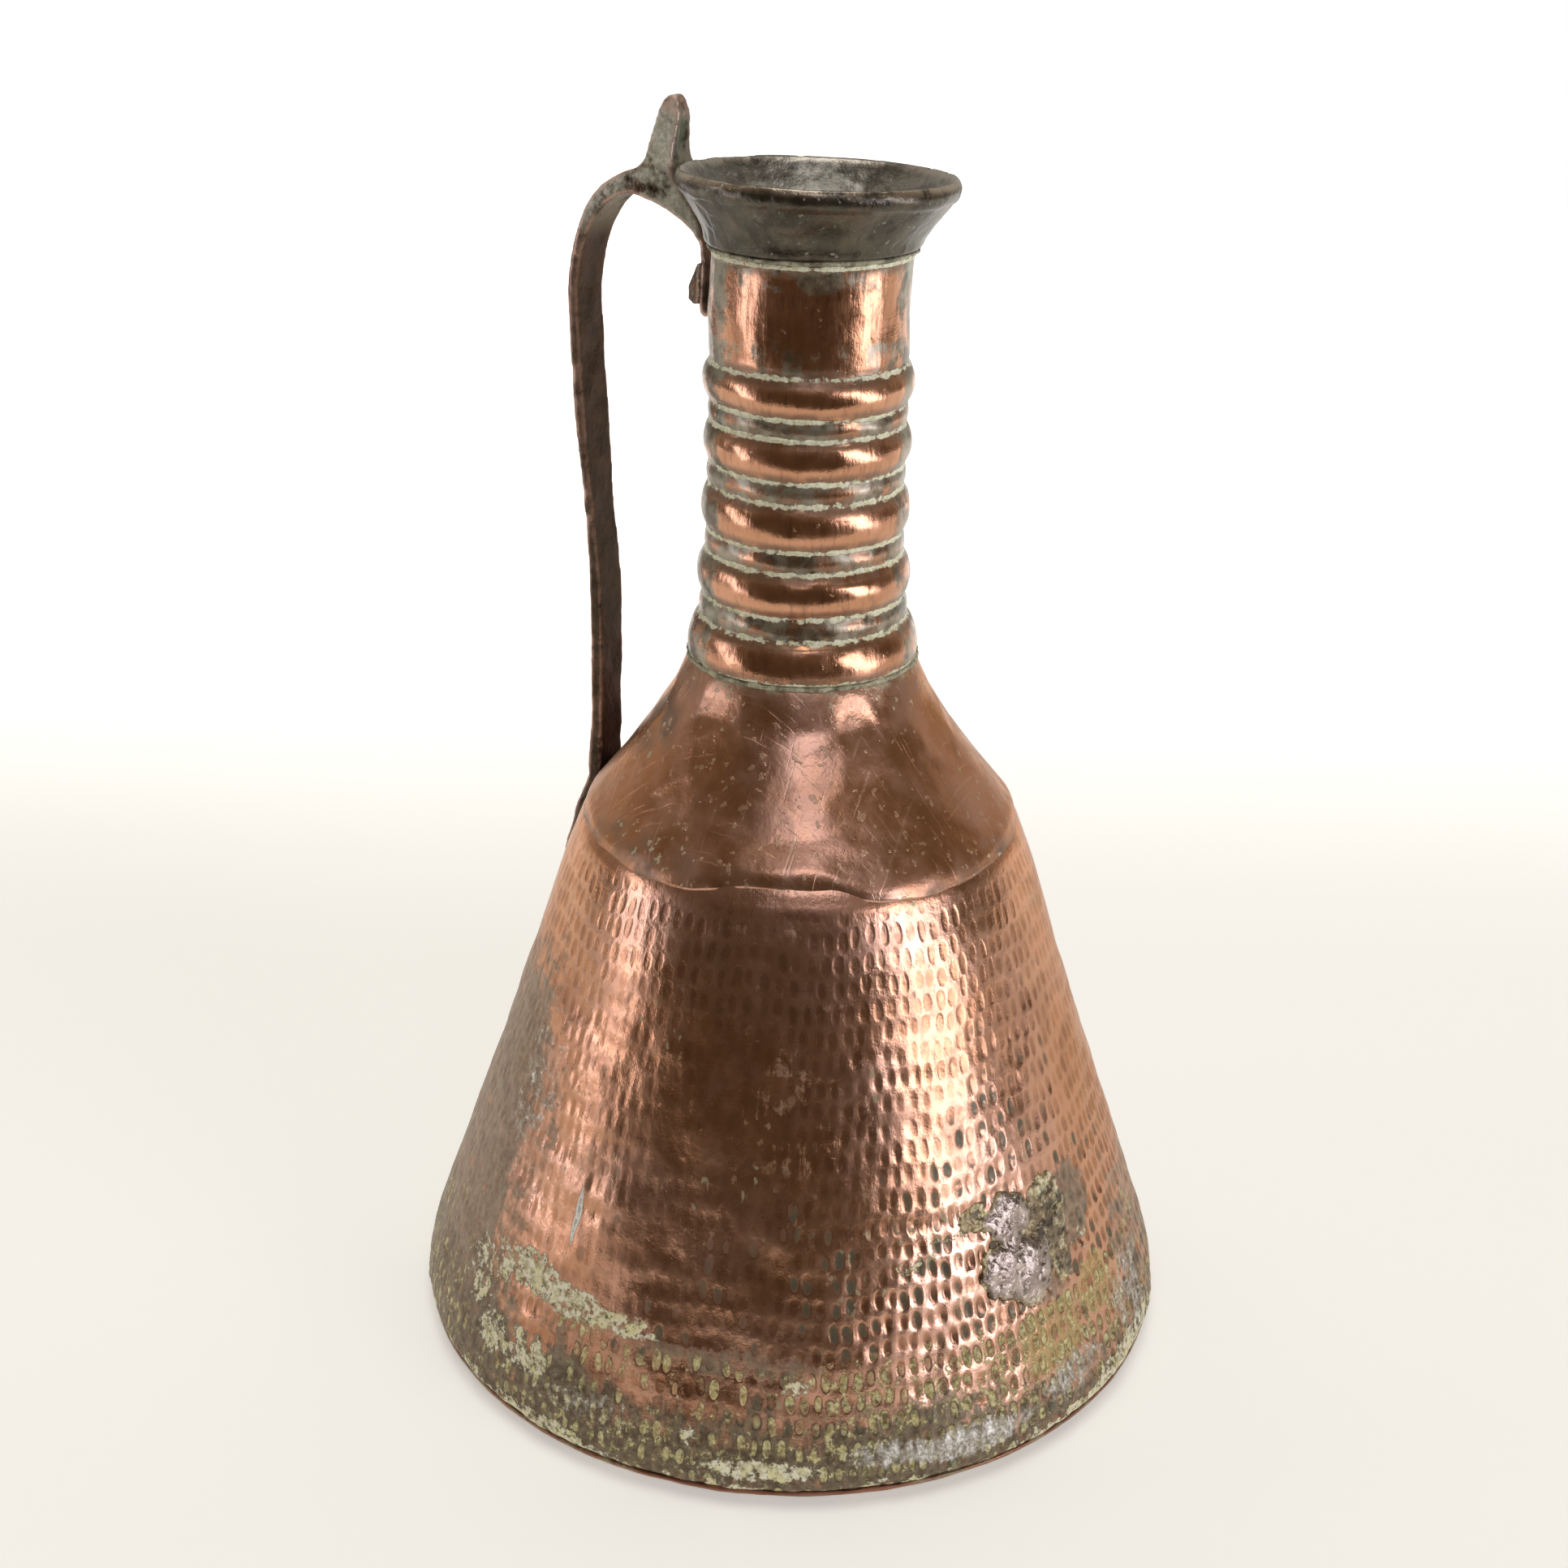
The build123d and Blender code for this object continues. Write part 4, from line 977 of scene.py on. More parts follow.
def wall_material():
    g = Graph("aged_hammered_copper")
    phi, z = phi_of(g)
    wob = g.mul(g.sub(g.noise(75.0, 2.0, 0.5), 0.5), 1.0)
    wob2 = g.mul(g.sub(g.noise(66.0, 2.0, 0.5, g.mapping((1, 1, 1), loc=(3.1, 1.7, 0.4))), 0.5), 3.4)
    mark, mark_id = mark_nodes(g, g.add(phi, wob), g.add(z, wob2))
    strength = g.attr("strength"); fill = g.attr("fill"); film = g.attr("film"); yellow = g.attr("yellow"); olive = g.attr("olive")
    crust = g.attr("crust"); sheen = g.attr("sheen"); inside = g.attr("inside"); stripes = g.attr("stripes"); rub = g.attr("rub")
    outside = g.sub(1.0, inside)
    # coordinates that run with the sheet: degrees round it and height
    fine_v = g.noise(3.4, 4.0, 0.62, g.combine(g.mul(phi, 0.11), g.mul(z, 0.012), 0.0))          # vertical strokes
    fine_v2 = g.noise(8.0, 3.0, 0.6, g.combine(g.mul(phi, 0.11), g.mul(z, 0.009), 4.0))
    bands = g.noise(2.6, 4.0, 0.62, g.combine(g.mul(phi, 0.020), g.mul(z, 0.11), 9.0))           # level streaks
    big = g.noise(17.0, 3.0, 0.5)
    mid = g.noise(95.0, 4.0, 0.6)
    patch = g.noise(150.0, 6.0, 0.70, distort=0.3)
    flaky = g.noise(330.0, 6.0, 0.74)
    micro = g.noise(700.0, 3.0, 0.62)
    metal = g.mix(g.step(g.add(g.mul(big, 0.8), g.mul(mid, 0.2)), 0.38, 0.66), BROWN, CLEAN)
    metal = g.mix(g.mul(g.step(fine_v, 0.48, 0.78), 0.20), metal, DEEP)
    metal = g.mix(g.mul(g.step(bands, 0.48, 0.74), 0.16), metal, DEEP)
    metal = g.mix(g.mul(g.step(g.noise(27.0, 3.0, 0.55), 0.50, 0.66), 0.35), metal, (0.56, 0.26, 0.145))
    blotch = g.step(g.noise(58.0, 4.0, 0.66, distort=0.5), 0.50, 0.60)
    metal = g.mix(g.mul(blotch, 0.42), metal, (0.27, 0.135, 0.080))
    ridge = g.mul(g.step(mark, 0.28, 0.02), g.mul(strength, outside))
    pit = g.mul(g.mul(g.step(mark, 0.25, 0.75), g.add(g.mul(strength, 0.7), 0.15)), outside)
    metal = g.mix(g.mul(g.step(z, 95.0, 25.0), 0.45), metal, (0.30, 0.125, 0.060))
    metal = g.mix(g.mul(ridge, 0.42), metal, (0.80, 0.51, 0.39))
    metal = g.mix(g.mul(pit, 0.40), metal, DEEP)
    # grey-green tarnish in some of the marks
    chosen = g.step(g.add(mark_id, g.sub(fill, 1.0)), -0.12, 0.12)
    tarn = g.mul(g.mul(g.step(mark, 0.30, 0.62), outside), g.mul(chosen, g.step(patch, 0.36, 0.52)))
    tarn = g.mul(tarn, g.step(fill, 0.05, 0.3))
    col = g.mix(g.mul(tarn, 0.92), metal, g.mix(mid, (0.050, 0.052, 0.036), (0.13, 0.13, 0.085)))
    # thin grey-olive film, patchy, thick towards the base
    n_film = g.add(g.mul(patch, 0.50), g.add(g.mul(bands, 0.20), g.mul(fine_v2, 0.30)))
    fm = g.mul(cover(g, g.mul(film, 0.92), n_film, 0.38, 0.64, 0.26), outside)
    low = g.step(z, 52.0, 26.0)
    film_col = g.mix(g.step(flaky, 0.36, 0.62), g.mix(low, (0.090, 0.074, 0.045), (0.042, 0.041, 0.024)), g.mix(low, (0.25, 0.225, 0.155), (0.180, 0.174, 0.115)))
    col = g.mix(g.mul(fm, g.mixf(low, 0.72, 0.84)), col, film_col)
    ol = g.mul(cover(g, g.mul(olive, 0.72), g.add(g.mul(n_film, 0.6), g.mul(flaky, 0.4)), 0.38, 0.62, 0.16), outside)
    col = g.mix(g.mul(ol, 0.70), col, g.mix(g.step(flaky, 0.40, 0.60), (0.34, 0.20, 0.070), (0.62, 0.52, 0.22)))
    # yellow deposit in the marks and in specks
    ysel = g.step(g.add(g.math("FRACT", g.mul(mark_id, 7.31)), g.sub(g.mul(yellow, 1.12), 1.0)), -0.06, 0.10)
    ymark = g.mul(g.mul(g.step(mark, 0.25, 0.60), ysel), g.step(g.add(g.mul(flaky, 0.55), g.mul(patch, 0.45)), 0.42, 0.52))
    yspk = cover(g, g.mul(yellow, 0.32), flaky, 0.36, 0.66, 0.06)
    ring = g.mul(g.mul(g.step(mark, 0.0, 0.10), g.step(mark, 0.42, 0.22)), g.mul(g.mul(g.step(yellow, 0.25, 0.6), outside), g.step(patch, 0.45, 0.57)))
    col = g.mix(g.mul(ring, 0.66), col, (0.060, 0.056, 0.036))
    ym = g.mul(g.math("MAXIMUM", g.mul(ymark, 0.9), yspk), g.mul(g.step(yellow, 0.04, 0.3), outside))
    col = g.mix(g.mul(ym, 0.88), col, g.mix(g.step(micro, 0.38, 0.64), (0.52, 0.44, 0.17), (0.86, 0.79, 0.44)))
    # small green specks over the clean metal
    specks = g.mul(g.step(g.noise(340.0, 2.0, 0.5, g.mapping((1, 1, 0.45))), 0.655, 0.70), g.mul(g.step(g.noise(30.0, 2.0, 0.5), 0.50, 0.62), outside))
    col = g.mix(g.mul(specks, 0.7), col, (0.30, 0.32, 0.19))
    # cream and pale yellow crust
    cr = g.mul(cover(g, g.mul(crust, 0.80), g.add(g.mul(patch, 0.5), g.mul(flaky, 0.5)), 0.38, 0.62, 0.09), outside)
    cr_col = g.mix(g.step(flaky, 0.42, 0.58), (0.46, 0.41, 0.22), (0.92, 0.88, 0.68))
    cr_col = g.mix(g.step(patch, 0.52, 0.62), cr_col, (0.84, 0.79, 0.44))
    col = g.mix(g.mul(cr, 0.95), col, cr_col)
    holes = g.mul(cr, g.step(g.noise(520.0, 3.0, 0.6), 0.60, 0.66))
    col = g.mix(g.mul(holes, 0.8), col, (0.05, 0.045, 0.03))
    # whitish patches and streaks, most of them low on the wall
    sh = g.mul(cover(g, g.mul(sheen, 0.8), g.add(g.mul(n_film, 0.5), g.mul(flaky, 0.5)), 0.38, 0.62, 0.30), outside)
    col = g.mix(g.mul(sh, g.step(fine_v2, 0.36, 0.60, 0.35, 0.95)), col, g.mix(g.step(micro, 0.42, 0.60), (0.50, 0.46, 0.40), (0.93, 0.91, 0.87)))
    # a straight white run of lime
    t = g.lin(z, 72.5, 94.5, 0.0, 1.0)
    half = g.add(g.mul(g.math("SINE", g.mul(t, math.pi)), 1.25), 0.15)
    dx = g.math("ABSOLUTE", g.add(g.mul(g.add(phi, 39.35), 2.15), g.add(g.mul(g.sub(t, 0.5), -1.0), g.mul(g.sub(g.noise(160.0, 2.0, 0.5), 0.5), 1.6))))
    run = g.mul(g.step(g.sub(dx, half), 0.30, -0.15), g.mul(g.step(z, 72.3, 73.3), g.step(z, 94.8, 93.8)))
    core = g.step(g.sub(dx, g.mul(half, 0.45)), 0.2, -0.2)
    col = g.mix(g.mul(run, 0.95), col, g.mix(g.mul(core, g.step(flaky, 0.42, 0.56)), (0.86, 0.85, 0.78), (0.45, 0.44, 0.39)))
    ins = g.mix(g.step(mid, 0.35, 0.7), (0.12, 0.085, 0.055), (0.27, 0.235, 0.17))
    col = g.mix(inside, col, ins)
    solid = g.math("MAXIMUM", g.math("MAXIMUM", g.mul(tarn, 0.7), g.mul(fm, 0.72)), g.math("MAXIMUM", g.math("MAXIMUM", cr, ym), g.math("MAXIMUM", run, g.mul(ol, 0.35))))
    solid = g.math("MAXIMUM", solid, g.mul(specks, 0.6))
    metallic = g.math("SUBTRACT", g.sub(1.0, g.mul(solid, 0.90)), g.mul(inside, 0.55), clamp=True)
    rough = g.add(g.add(0.215, g.mul(g.step(mid, 0.3, 0.75), 0.09)), g.add(g.mul(blotch, 0.05), g.mul(solid, 0.20)))
    rough = g.add(rough, g.add(g.mul(inside, 0.2), g.mul(cr, 0.14)))
    h1 = g.mul(mark, g.mul(g.mul(strength, outside), -0.00026))
    h2 = g.mul(g.sub(fine_v, 0.5), 0.00012)
    h3 = g.mul(g.sub(micro, 0.5), 0.00005)
    h4 = g.mul(g.add(g.math("MAXIMUM", cr, ym), g.mul(fm, 0.25)), g.add(0.00012, g.mul(flaky, 0.00055)))
    h5 = g.add(g.mul(g.sub(mid, 0.5), 0.00030), g.mul(holes, -0.0003))
    h = g.add(g.add(h1, h2), g.add(g.add(h3, h4), g.add(h5, g.mul(run, 0.0003))))
    n = g.bump(h, 1.0, 1.0)
    return g.finish(col, metallic, rough, n, coat=0.08, coat_rough=0.16, tint=(0.84, 0.66, 0.54))


def shoulder_material():
    g = Graph("aged_planished_copper")
    phi, z = phi_of(g)
    inside = g.attr("inside"); lip = g.attr("lip"); dark = g.attr("dark"); rub = g.attr("rub"); crust = g.attr("crust")
    outside = g.sub(1.0, inside)
    big = g.noise(20.0, 3.0, 0.55)
    mid = g.noise(85.0, 4.0, 0.62)
    micro = g.noise(560.0, 3.0, 0.6)
    metal = g.mix(g.step(g.add(g.mul(big, 0.7), g.mul(mid, 0.4)), 0.44, 0.68), BROWN, CLEAN)
    metal = g.mix(g.mul(rub, g.mul(g.step(mid, 0.48, 0.66), 0.35)), metal, CLEAN)
    blot = g.step(g.noise(36.0, 5.0, 0.68, distort=0.6), 0.52, 0.66)
    metal = g.mix(g.mul(blot, 0.22), metal, DEEP)
    # fine scratches in two directions
    sc1 = g.noise(34.0, 2.0, 0.5, g.mapping((1, 26, 1), (0.3, 0.2, 0.9)))
    sc2 = g.noise(30.0, 2.0, 0.5, g.mapping((22, 1, 1), (0.5, 0.6, 0.3)))
    scr = g.math("MAXIMUM", g.step(sc1, 0.64, 0.70), g.step(sc2, 0.65, 0.71))
    metal = g.mix(g.mul(scr, 0.30), metal, (0.93, 0.62, 0.48))
    dk = g.mul(g.mul(dark, g.step(g.add(g.mul(mid, 0.6), g.mul(big, 0.5)), 0.42, 0.66)), outside)
    col = g.mix(g.mul(dk, 0.85), metal, (0.10, 0.075, 0.045))
    speck = g.mul(g.step(g.noise(300.0, 2.0, 0.5), 0.635, 0.69), outside)
    speck = g.mul(speck, g.add(g.mul(dark, 0.7), 0.25))
    cr = g.mul(g.mul(crust, g.step(g.noise(190.0, 4.0, 0.68), 0.42, 0.60)), outside)
    cr = g.math("MAXIMUM", cr, speck)
    # painted highlight along the lap edge, strongest at the front
    col = g.mix(g.mul(lip, g.step(mid, 0.40, 0.60, 0.0, 0.45)), col, (0.80, 0.54, 0.42))
    col = g.mix(cr, col, g.mix(micro, PALEGREEN, CREAM))
    ins = g.mix(g.step(mid, 0.35, 0.7), (0.12, 0.085, 0.055), (0.27, 0.235, 0.17))
    col = g.mix(inside, col, ins)
    solid = g.math("MAXIMUM", g.mul(dk, 0.65), cr)
    metallic = g.math("SUBTRACT", g.sub(1.0, g.mul(solid, 0.9)), g.mul(inside, 0.5), clamp=True)
    rough = g.add(g.add(0.25, g.mul(g.step(mid, 0.3, 0.75), 0.10)), g.add(g.mul(solid, 0.3), g.mul(blot, 0.08)))
    h = g.add(g.mul(g.sub(micro, 0.5), 0.00008), g.add(g.mul(g.sub(mid, 0.5), 0.00022), g.mul(scr, -0.00003)))
    h = g.add(h, g.mul(cr, g.mul(g.noise(900.0, 3.0, 0.7), 0.0004)))
    return g.finish(col, metallic, rough, g.bump(h, 1.0, 1.0), coat=0.08, coat_rough=0.16, tint=(0.84, 0.66, 0.54))


def neck_material():
    g = Graph("aged_beaded_copper")
    phi, z = phi_of(g)
    inside = g.attr("inside"); crust = g.attr("crust"); side = g.attr("side"); groove = g.attr("groove"); rub = g.attr("rub"); bead = g.attr("bead")
    outside = g.sub(1.0, inside)
    big = g.noise(26.0, 3.0, 0.55)
    mid = g.noise(110.0, 4.0, 0.62)
    micro = g.noise(640.0, 3.0, 0.6)
    sheet = g.combine(g.mul(phi, 0.055), g.mul(z, 0.018), 0.0)
    strokes = g.noise(6.0, 4.0, 0.62, sheet)
    metal = g.mix(g.step(g.add(g.mul(big, 0.6), g.mul(mid, 0.5)), 0.42, 0.66), BROWN, (0.62, 0.31, 0.19))
    metal = g.mix(g.mul(rub, g.mul(bead, 0.40)), metal, (0.74, 0.39, 0.235))
    metal = g.mix(g.mul(g.step(strokes, 0.5, 0.7), 0.45), metal, DEEP)
    dk = g.mul(g.mul(groove, g.step(g.add(g.mul(mid, 0.8), 0.15), 0.36, 0.60)), outside)
    col = g.mix(g.mul(dk, 0.72), metal, (0.115, 0.085, 0.05))
    sd = g.mul(cover(g, g.mul(side, 0.85), g.noise(90.0, 5.0, 0.68), 0.34, 0.66, 0.30), outside)
    col = g.mix(g.mul(sd, 0.85), col, g.mix(g.step(mid, 0.40, 0.60), (0.090, 0.088, 0.058), (0.33, 0.32, 0.24)))
    cr = g.mul(cover(g, g.mul(crust, 0.92), g.noise(260.0, 5.0, 0.7), 0.34, 0.66, 0.15), outside)
    nar = g.mul(cover(g, g.mul(g.attr("narrow"), 0.80), g.noise(120.0, 4.0, 0.66), 0.34, 0.66, 0.22), outside)
    col = g.mix(g.mul(nar, 0.80), col, g.mix(g.step(mid, 0.40, 0.60), (0.110, 0.104, 0.070), (0.36, 0.34, 0.26)))
    speck = g.mul(g.step(g.noise(420.0, 2.0, 0.5), 0.70, 0.74), g.mul(outside, 0.15))
    cr = g.math("MAXIMUM", cr, speck)
    col = g.mix(cr, col, g.mix(g.step(micro, 0.4, 0.65), (0.97, 0.94, 0.72), (0.72, 0.70, 0.42)))
    ins = g.mix(g.step(mid, 0.35, 0.7), (0.10, 0.08, 0.055), (0.24, 0.215, 0.16))
    col = g.mix(inside, col, ins)
    solid = g.math("MAXIMUM", g.math("MAXIMUM", g.mul(dk, 0.5), g.math("MAXIMUM", g.mul(sd, 0.34), g.mul(nar, 0.26))), cr)
    metallic = g.math("SUBTRACT", g.sub(1.0, g.mul(solid, 0.9)), g.mul(inside, 0.5), clamp=True)
    rough = g.add(g.add(0.175, g.mul(g.step(mid, 0.3, 0.75), 0.10)), g.mul(solid, 0.30))
    h = g.add(g.mul(g.sub(micro, 0.5), 0.00006), g.add(g.mul(g.sub(mid, 0.5), 0.00013), g.mul(g.sub(strokes, 0.5), 0.00012)))
    h = g.add(h, g.mul(g.add(cr, g.mul(sd, 0.4)), g.mul(g.noise(1000.0, 3.0, 0.7), 0.00040)))
    return g.finish(col, metallic, rough, g.bump(h, 1.0, 1.0), coat=0.16, coat_rough=0.18)


def collar_material():
    g = Graph("dull_cast_bronze")
    rim = g.attr("rim"); crust = g.attr("crust"); rub = g.attr("rub"); funnel = g.attr("funnel")
    mid = g.noise(120.0, 4.0, 0.65)
    big = g.noise(45.0, 3.0, 0.6)
    micro = g.noise(700.0, 3.0, 0.62)
    col = g.mix(g.step(mid, 0.36, 0.68), (0.050, 0.042, 0.030), (0.125, 0.100, 0.070))
    col = g.mix(g.mul(g.step(big, 0.48, 0.66), 0.6), col, (0.090, 0.085, 0.058))
    bright = g.mul(rim, g.step(mid, 0.30, 0.55))
    col = g.mix(g.mul(bright, 0.7), col, (0.58, 0.47, 0.36))
    worn = g.mul(rub, g.step(g.noise(55.0, 4.0, 0.6), 0.56, 0.70))
    col = g.mix(g.mul(worn, 0.35), col, (0.30, 0.20, 0.14))
    sp = g.math("MAXIMUM", g.step(g.noise(420.0, 2.0, 0.5), 0.665, 0.72), g.mul(g.step(crust, 0.55, 0.9), g.step(g.noise(230.0, 4.0, 0.7), 0.50, 0.62)))
    col = g.mix(g.mul(sp, 0.6), col, g.mix(micro, (0.26, 0.26, 0.18), (0.42, 0.40, 0.31)))
    col = g.mix(g.mul(funnel, 0.6), col, g.mix(g.step(mid, 0.4, 0.62), (0.17, 0.168, 0.15), (0.36, 0.355, 0.33)))
    metallic = g.math("SUBTRACT", 0.80, g.mul(sp, 0.7), clamp=True)
    rough = g.add(g.add(0.20, g.mul(mid, 0.12)), g.add(g.mul(sp, 0.2), g.mul(g.sub(1.0, rim), 0.04)))
    h = g.add(g.mul(g.sub(micro, 0.5), 0.00014), g.add(g.mul(g.sub(mid, 0.5), 0.00045), g.mul(sp, 0.00012)))
    return g.finish(col, metallic, rough, g.bump(h, 1.0, 1.0), coat=0.15, coat_rough=0.3)


def handle_material(name="handle_aged_bronze"):
    g = Graph(name)
    edge = g.attr("edge"); hollow = g.attr("hollow"); outer = g.attr("outer"); inner = g.attr("inner"); arm = g.attr("arm")
    groove = g.attr("groove"); tip = g.attr("tip"); prong = g.attr("prong"); foot = g.attr("foot")
    big = g.noise(30.0, 3.0, 0.6)
    mid = g.noise(120.0, 4.0, 0.65)
    long = g.noise(60.0, 4.0, 0.6, g.mapping((1.6, 1.6, 0.22)))
    micro = g.noise(700.0, 3.0, 0.62)
    col = g.mix(g.step(mid, 0.36, 0.66), (0.046, 0.028, 0.017), (0.115, 0.062, 0.036))
    col = g.mix(g.mul(g.step(long, 0.46, 0.64), 0.5), col, (0.052, 0.036, 0.022))
    col = g.mix(g.mul(inner, 0.5), col, (0.045, 0.040, 0.030))
    # arm and prong: mottled whitish green over bronze
    pale = g.mul(g.math("MAXIMUM", g.mul(arm, 0.95), 0.03), g.step(g.add(g.mul(g.noise(75.0, 5.0, 0.68), 0.8), g.mul(mid, 0.25)), 0.38, 0.54))
    pale = g.mul(pale, g.sub(1.0, g.mul(inner, 0.55)))
    col = g.mix(g.mul(pale, 0.85), col, g.mix(g.step(micro, 0.4, 0.65), (0.60, 0.60, 0.46), (0.85, 0.81, 0.69)))
    col = g.mix(g.mul(groove, 0.85), col, (0.20, 0.235, 0.13))
    pink = g.math("MAXIMUM", g.mul(edge, g.step(mid, 0.30, 0.55)), g.mul(tip, g.mul(g.step(mid, 0.35, 0.6), 0.75)))
    pink = g.math("MAXIMUM", pink, g.mul(g.mul(outer, g.sub(1.0, g.mul(arm, 0.6))), g.mul(g.step(long, 0.36, 0.52), 0.95)))
    col = g.mix(g.mul(pink, 0.82), col, (0.78, 0.50, 0.40))
    gr = g.mul(g.math("MAXIMUM", hollow, g.mul(foot, 0.4)), g.step(mid, 0.38, 0.6))
    col = g.mix(g.mul(gr, 0.45), col, (0.16, 0.17, 0.11))
    metallic = g.math("SUBTRACT", g.sub(0.66, g.mul(pale, 0.45)), g.add(g.mul(groove, 0.6), g.mul(gr, 0.5)), clamp=True)
    rough = g.add(g.add(0.29, g.mul(mid, 0.12)), g.sub(g.mul(pale, 0.14), g.mul(pink, 0.06)))
    h = g.add(g.mul(g.sub(micro, 0.5), 0.00014), g.add(g.mul(g.sub(mid, 0.5), 0.00055), g.mul(g.sub(long, 0.5), 0.0003)))
    return g.finish(col, metallic, rough, g.bump(h, 1.0, 1.0), coat=0.03, coat_rough=0.3, spec=0.3, tint=(0.36, 0.25, 0.18))


def rivet_material(name="aged_rivet_copper", dull=0.0):
    g = Graph(name)
    edge = g.attr("edge"); hollow = g.attr("hollow")
    mid = g.noise(210.0, 4.0, 0.62)
    micro = g.noise(900.0, 3.0, 0.62)
    col = g.mix(g.step(mid, 0.36, 0.66), (0.26, 0.135, 0.08), (0.62, 0.36, 0.25))
    col = g.mix(g.mul(edge, g.mul(g.step(mid, 0.3, 0.6), 0.7)), col, (0.85, 0.54, 0.40))
    col = g.mix(g.mul(g.step(mid, 0.25, 0.6), dull), col, (0.085, 0.080, 0.055))
    gr = g.mul(hollow, g.step(micro, 0.36, 0.6))
    col = g.mix(g.mul(gr, 0.8), col, (0.30, 0.31, 0.20))
    sp = g.step(g.noise(520.0, 2.0, 0.5), 0.62, 0.69)
    col = g.mix(g.mul(sp, 0.6), col, (0.45, 0.42, 0.30))
    metallic = g.math("SUBTRACT", 0.92, g.add(g.mul(gr, 0.7), g.mul(sp, 0.5)), clamp=True)
    rough = g.add(g.add(0.30, g.mul(mid, 0.14)), g.mul(gr, 0.25))
    h = g.add(g.mul(g.sub(micro, 0.5), 0.00010), g.mul(g.sub(mid, 0.5), 0.00030))
    return g.finish(col, metallic, rough, g.bump(h, 1.0, 1.0), coat=0.12, coat_rough=0.25)


def solder_material():
    g = Graph("crusted_seam_solder")
    crust = g.attr("crust")
    mid = g.noise(240.0, 4.0, 0.66)
    micro = g.noise(900.0, 3.0, 0.65)
    col = g.mix(g.step(mid, 0.38, 0.64), (0.17, 0.155, 0.10), (0.42, 0.40, 0.27))
    cr = g.mul(g.step(crust, 0.25, 0.7), g.step(g.noise(300.0, 4.0, 0.7), 0.40, 0.60))
    col = g.mix(cr, col, g.mix(micro, (0.48, 0.48, 0.33), CREAM))
    metallic = g.math("SUBTRACT", 0.45, g.mul(cr, 0.45), clamp=True)
    rough = g.add(g.add(0.46, g.mul(mid, 0.2)), g.mul(cr, 0.15))
    h = g.add(g.mul(g.sub(micro, 0.5), 0.00025), g.mul(g.sub(mid, 0.5), 0.0005))
    return g.finish(col, metallic, rough, g.bump(h, 1.0, 1.0), coat=0.05, coat_rough=0.4)


def repair_material():
    g = Graph("repair_solder_metal")
    shiny = g.attr("shiny"); pit = g.attr("pit"); crust = g.attr("crust"); lump = g.attr("lump")
    mid = g.noise(190.0, 4.0, 0.64)
    micro = g.noise(850.0, 3.0, 0.62)
    bright = g.mix(g.step(mid, 0.38, 0.66), (0.31, 0.245, 0.215), SOLDER)
    bright = g.mix(g.mul(pit, 0.8), bright, (0.13, 0.10, 0.075))
    dull = g.mix(g.step(mid, 0.40, 0.62), (0.060, 0.046, 0.030), (0.24, 0.175, 0.105))
    ysp = g.mul(g.step(g.noise(310.0, 3.0, 0.62), 0.57, 0.66), g.step(g.noise(120.0, 3.0, 0.6), 0.44, 0.56))
    dull = g.mix(g.mul(ysp, 0.85), dull, (0.60, 0.54, 0.33))
    col = g.mix(shiny, dull, bright)
    flake = g.noise(260.0, 5.0, 0.70)
    cr = g.mul(g.mul(crust, g.sub(1.0, g.mul(shiny, 0.6))), g.step(flake, 0.44, 0.56))
    col = g.mix(cr, col, g.mix(g.step(flake, 0.50, 0.64), (0.58, 0.47, 0.22), (0.92, 0.87, 0.62)))
    solid = g.math("MAXIMUM", cr, g.mul(g.sub(1.0, shiny), g.add(g.mul(ysp, 0.6), 0.3)))
    metallic = g.math("SUBTRACT", 0.95, g.mul(solid, 0.85), clamp=True)
    rough = g.add(g.add(0.20, g.mul(mid, 0.12)), g.mul(solid, 0.4))
    h = g.add(g.mul(g.sub(micro, 0.5), 0.00018), g.mul(g.sub(mid, 0.5), 0.0006))
    return g.finish(col, metallic, rough, g.bump(h, 1.0, 1.0), coat=0.10, coat_rough=0.2)


def pan_material():
    g = Graph("aged_base_copper")
    crust = g.attr("crust"); rim = g.attr("rim"); rub = g.attr("rub")
    big = g.noise(24.0, 3.0, 0.6)
    mid = g.noise(110.0, 4.0, 0.64)
    micro = g.noise(700.0, 3.0, 0.62)
    metal = g.mix(g.step(g.add(g.mul(mid, 0.7), g.mul(big, 0.4)), 0.42, 0.68), (0.30, 0.14, 0.085), (0.62, 0.30, 0.19))
    metal = g.mix(g.mul(rim, 0.70), metal, (0.20, 0.085, 0.055))
    dull = g.mix(g.step(big, 0.4, 0.66), (0.16, 0.12, 0.075), (0.30, 0.27, 0.18))
    cr = g.mul(g.step(crust, 0.25, 0.8), g.step(g.add(g.mul(g.noise(150.0, 5.0, 0.68), 0.9), 0.03), 0.42, 0.62))
    col = g.mix(g.mul(g.sub(1.0, rim), 0.55), metal, dull)
    col = g.mix(g.mul(cr, 0.8), col, g.mix(micro, OLIVE, (0.50, 0.46, 0.32)))
    metallic = g.math("SUBTRACT", g.add(g.mul(rim, 0.25), 0.70), g.mul(cr, 0.6), clamp=True)
    rough = g.add(g.add(0.32, g.mul(mid, 0.16)), g.mul(cr, 0.25))
    h = g.add(g.mul(g.sub(micro, 0.5), 0.00014), g.add(g.mul(g.sub(mid, 0.5), 0.0004), g.mul(cr, 0.00015)))
    return g.finish(col, metallic, rough, g.bump(h, 1.0, 1.0), coat=0.12, coat_rough=0.25)


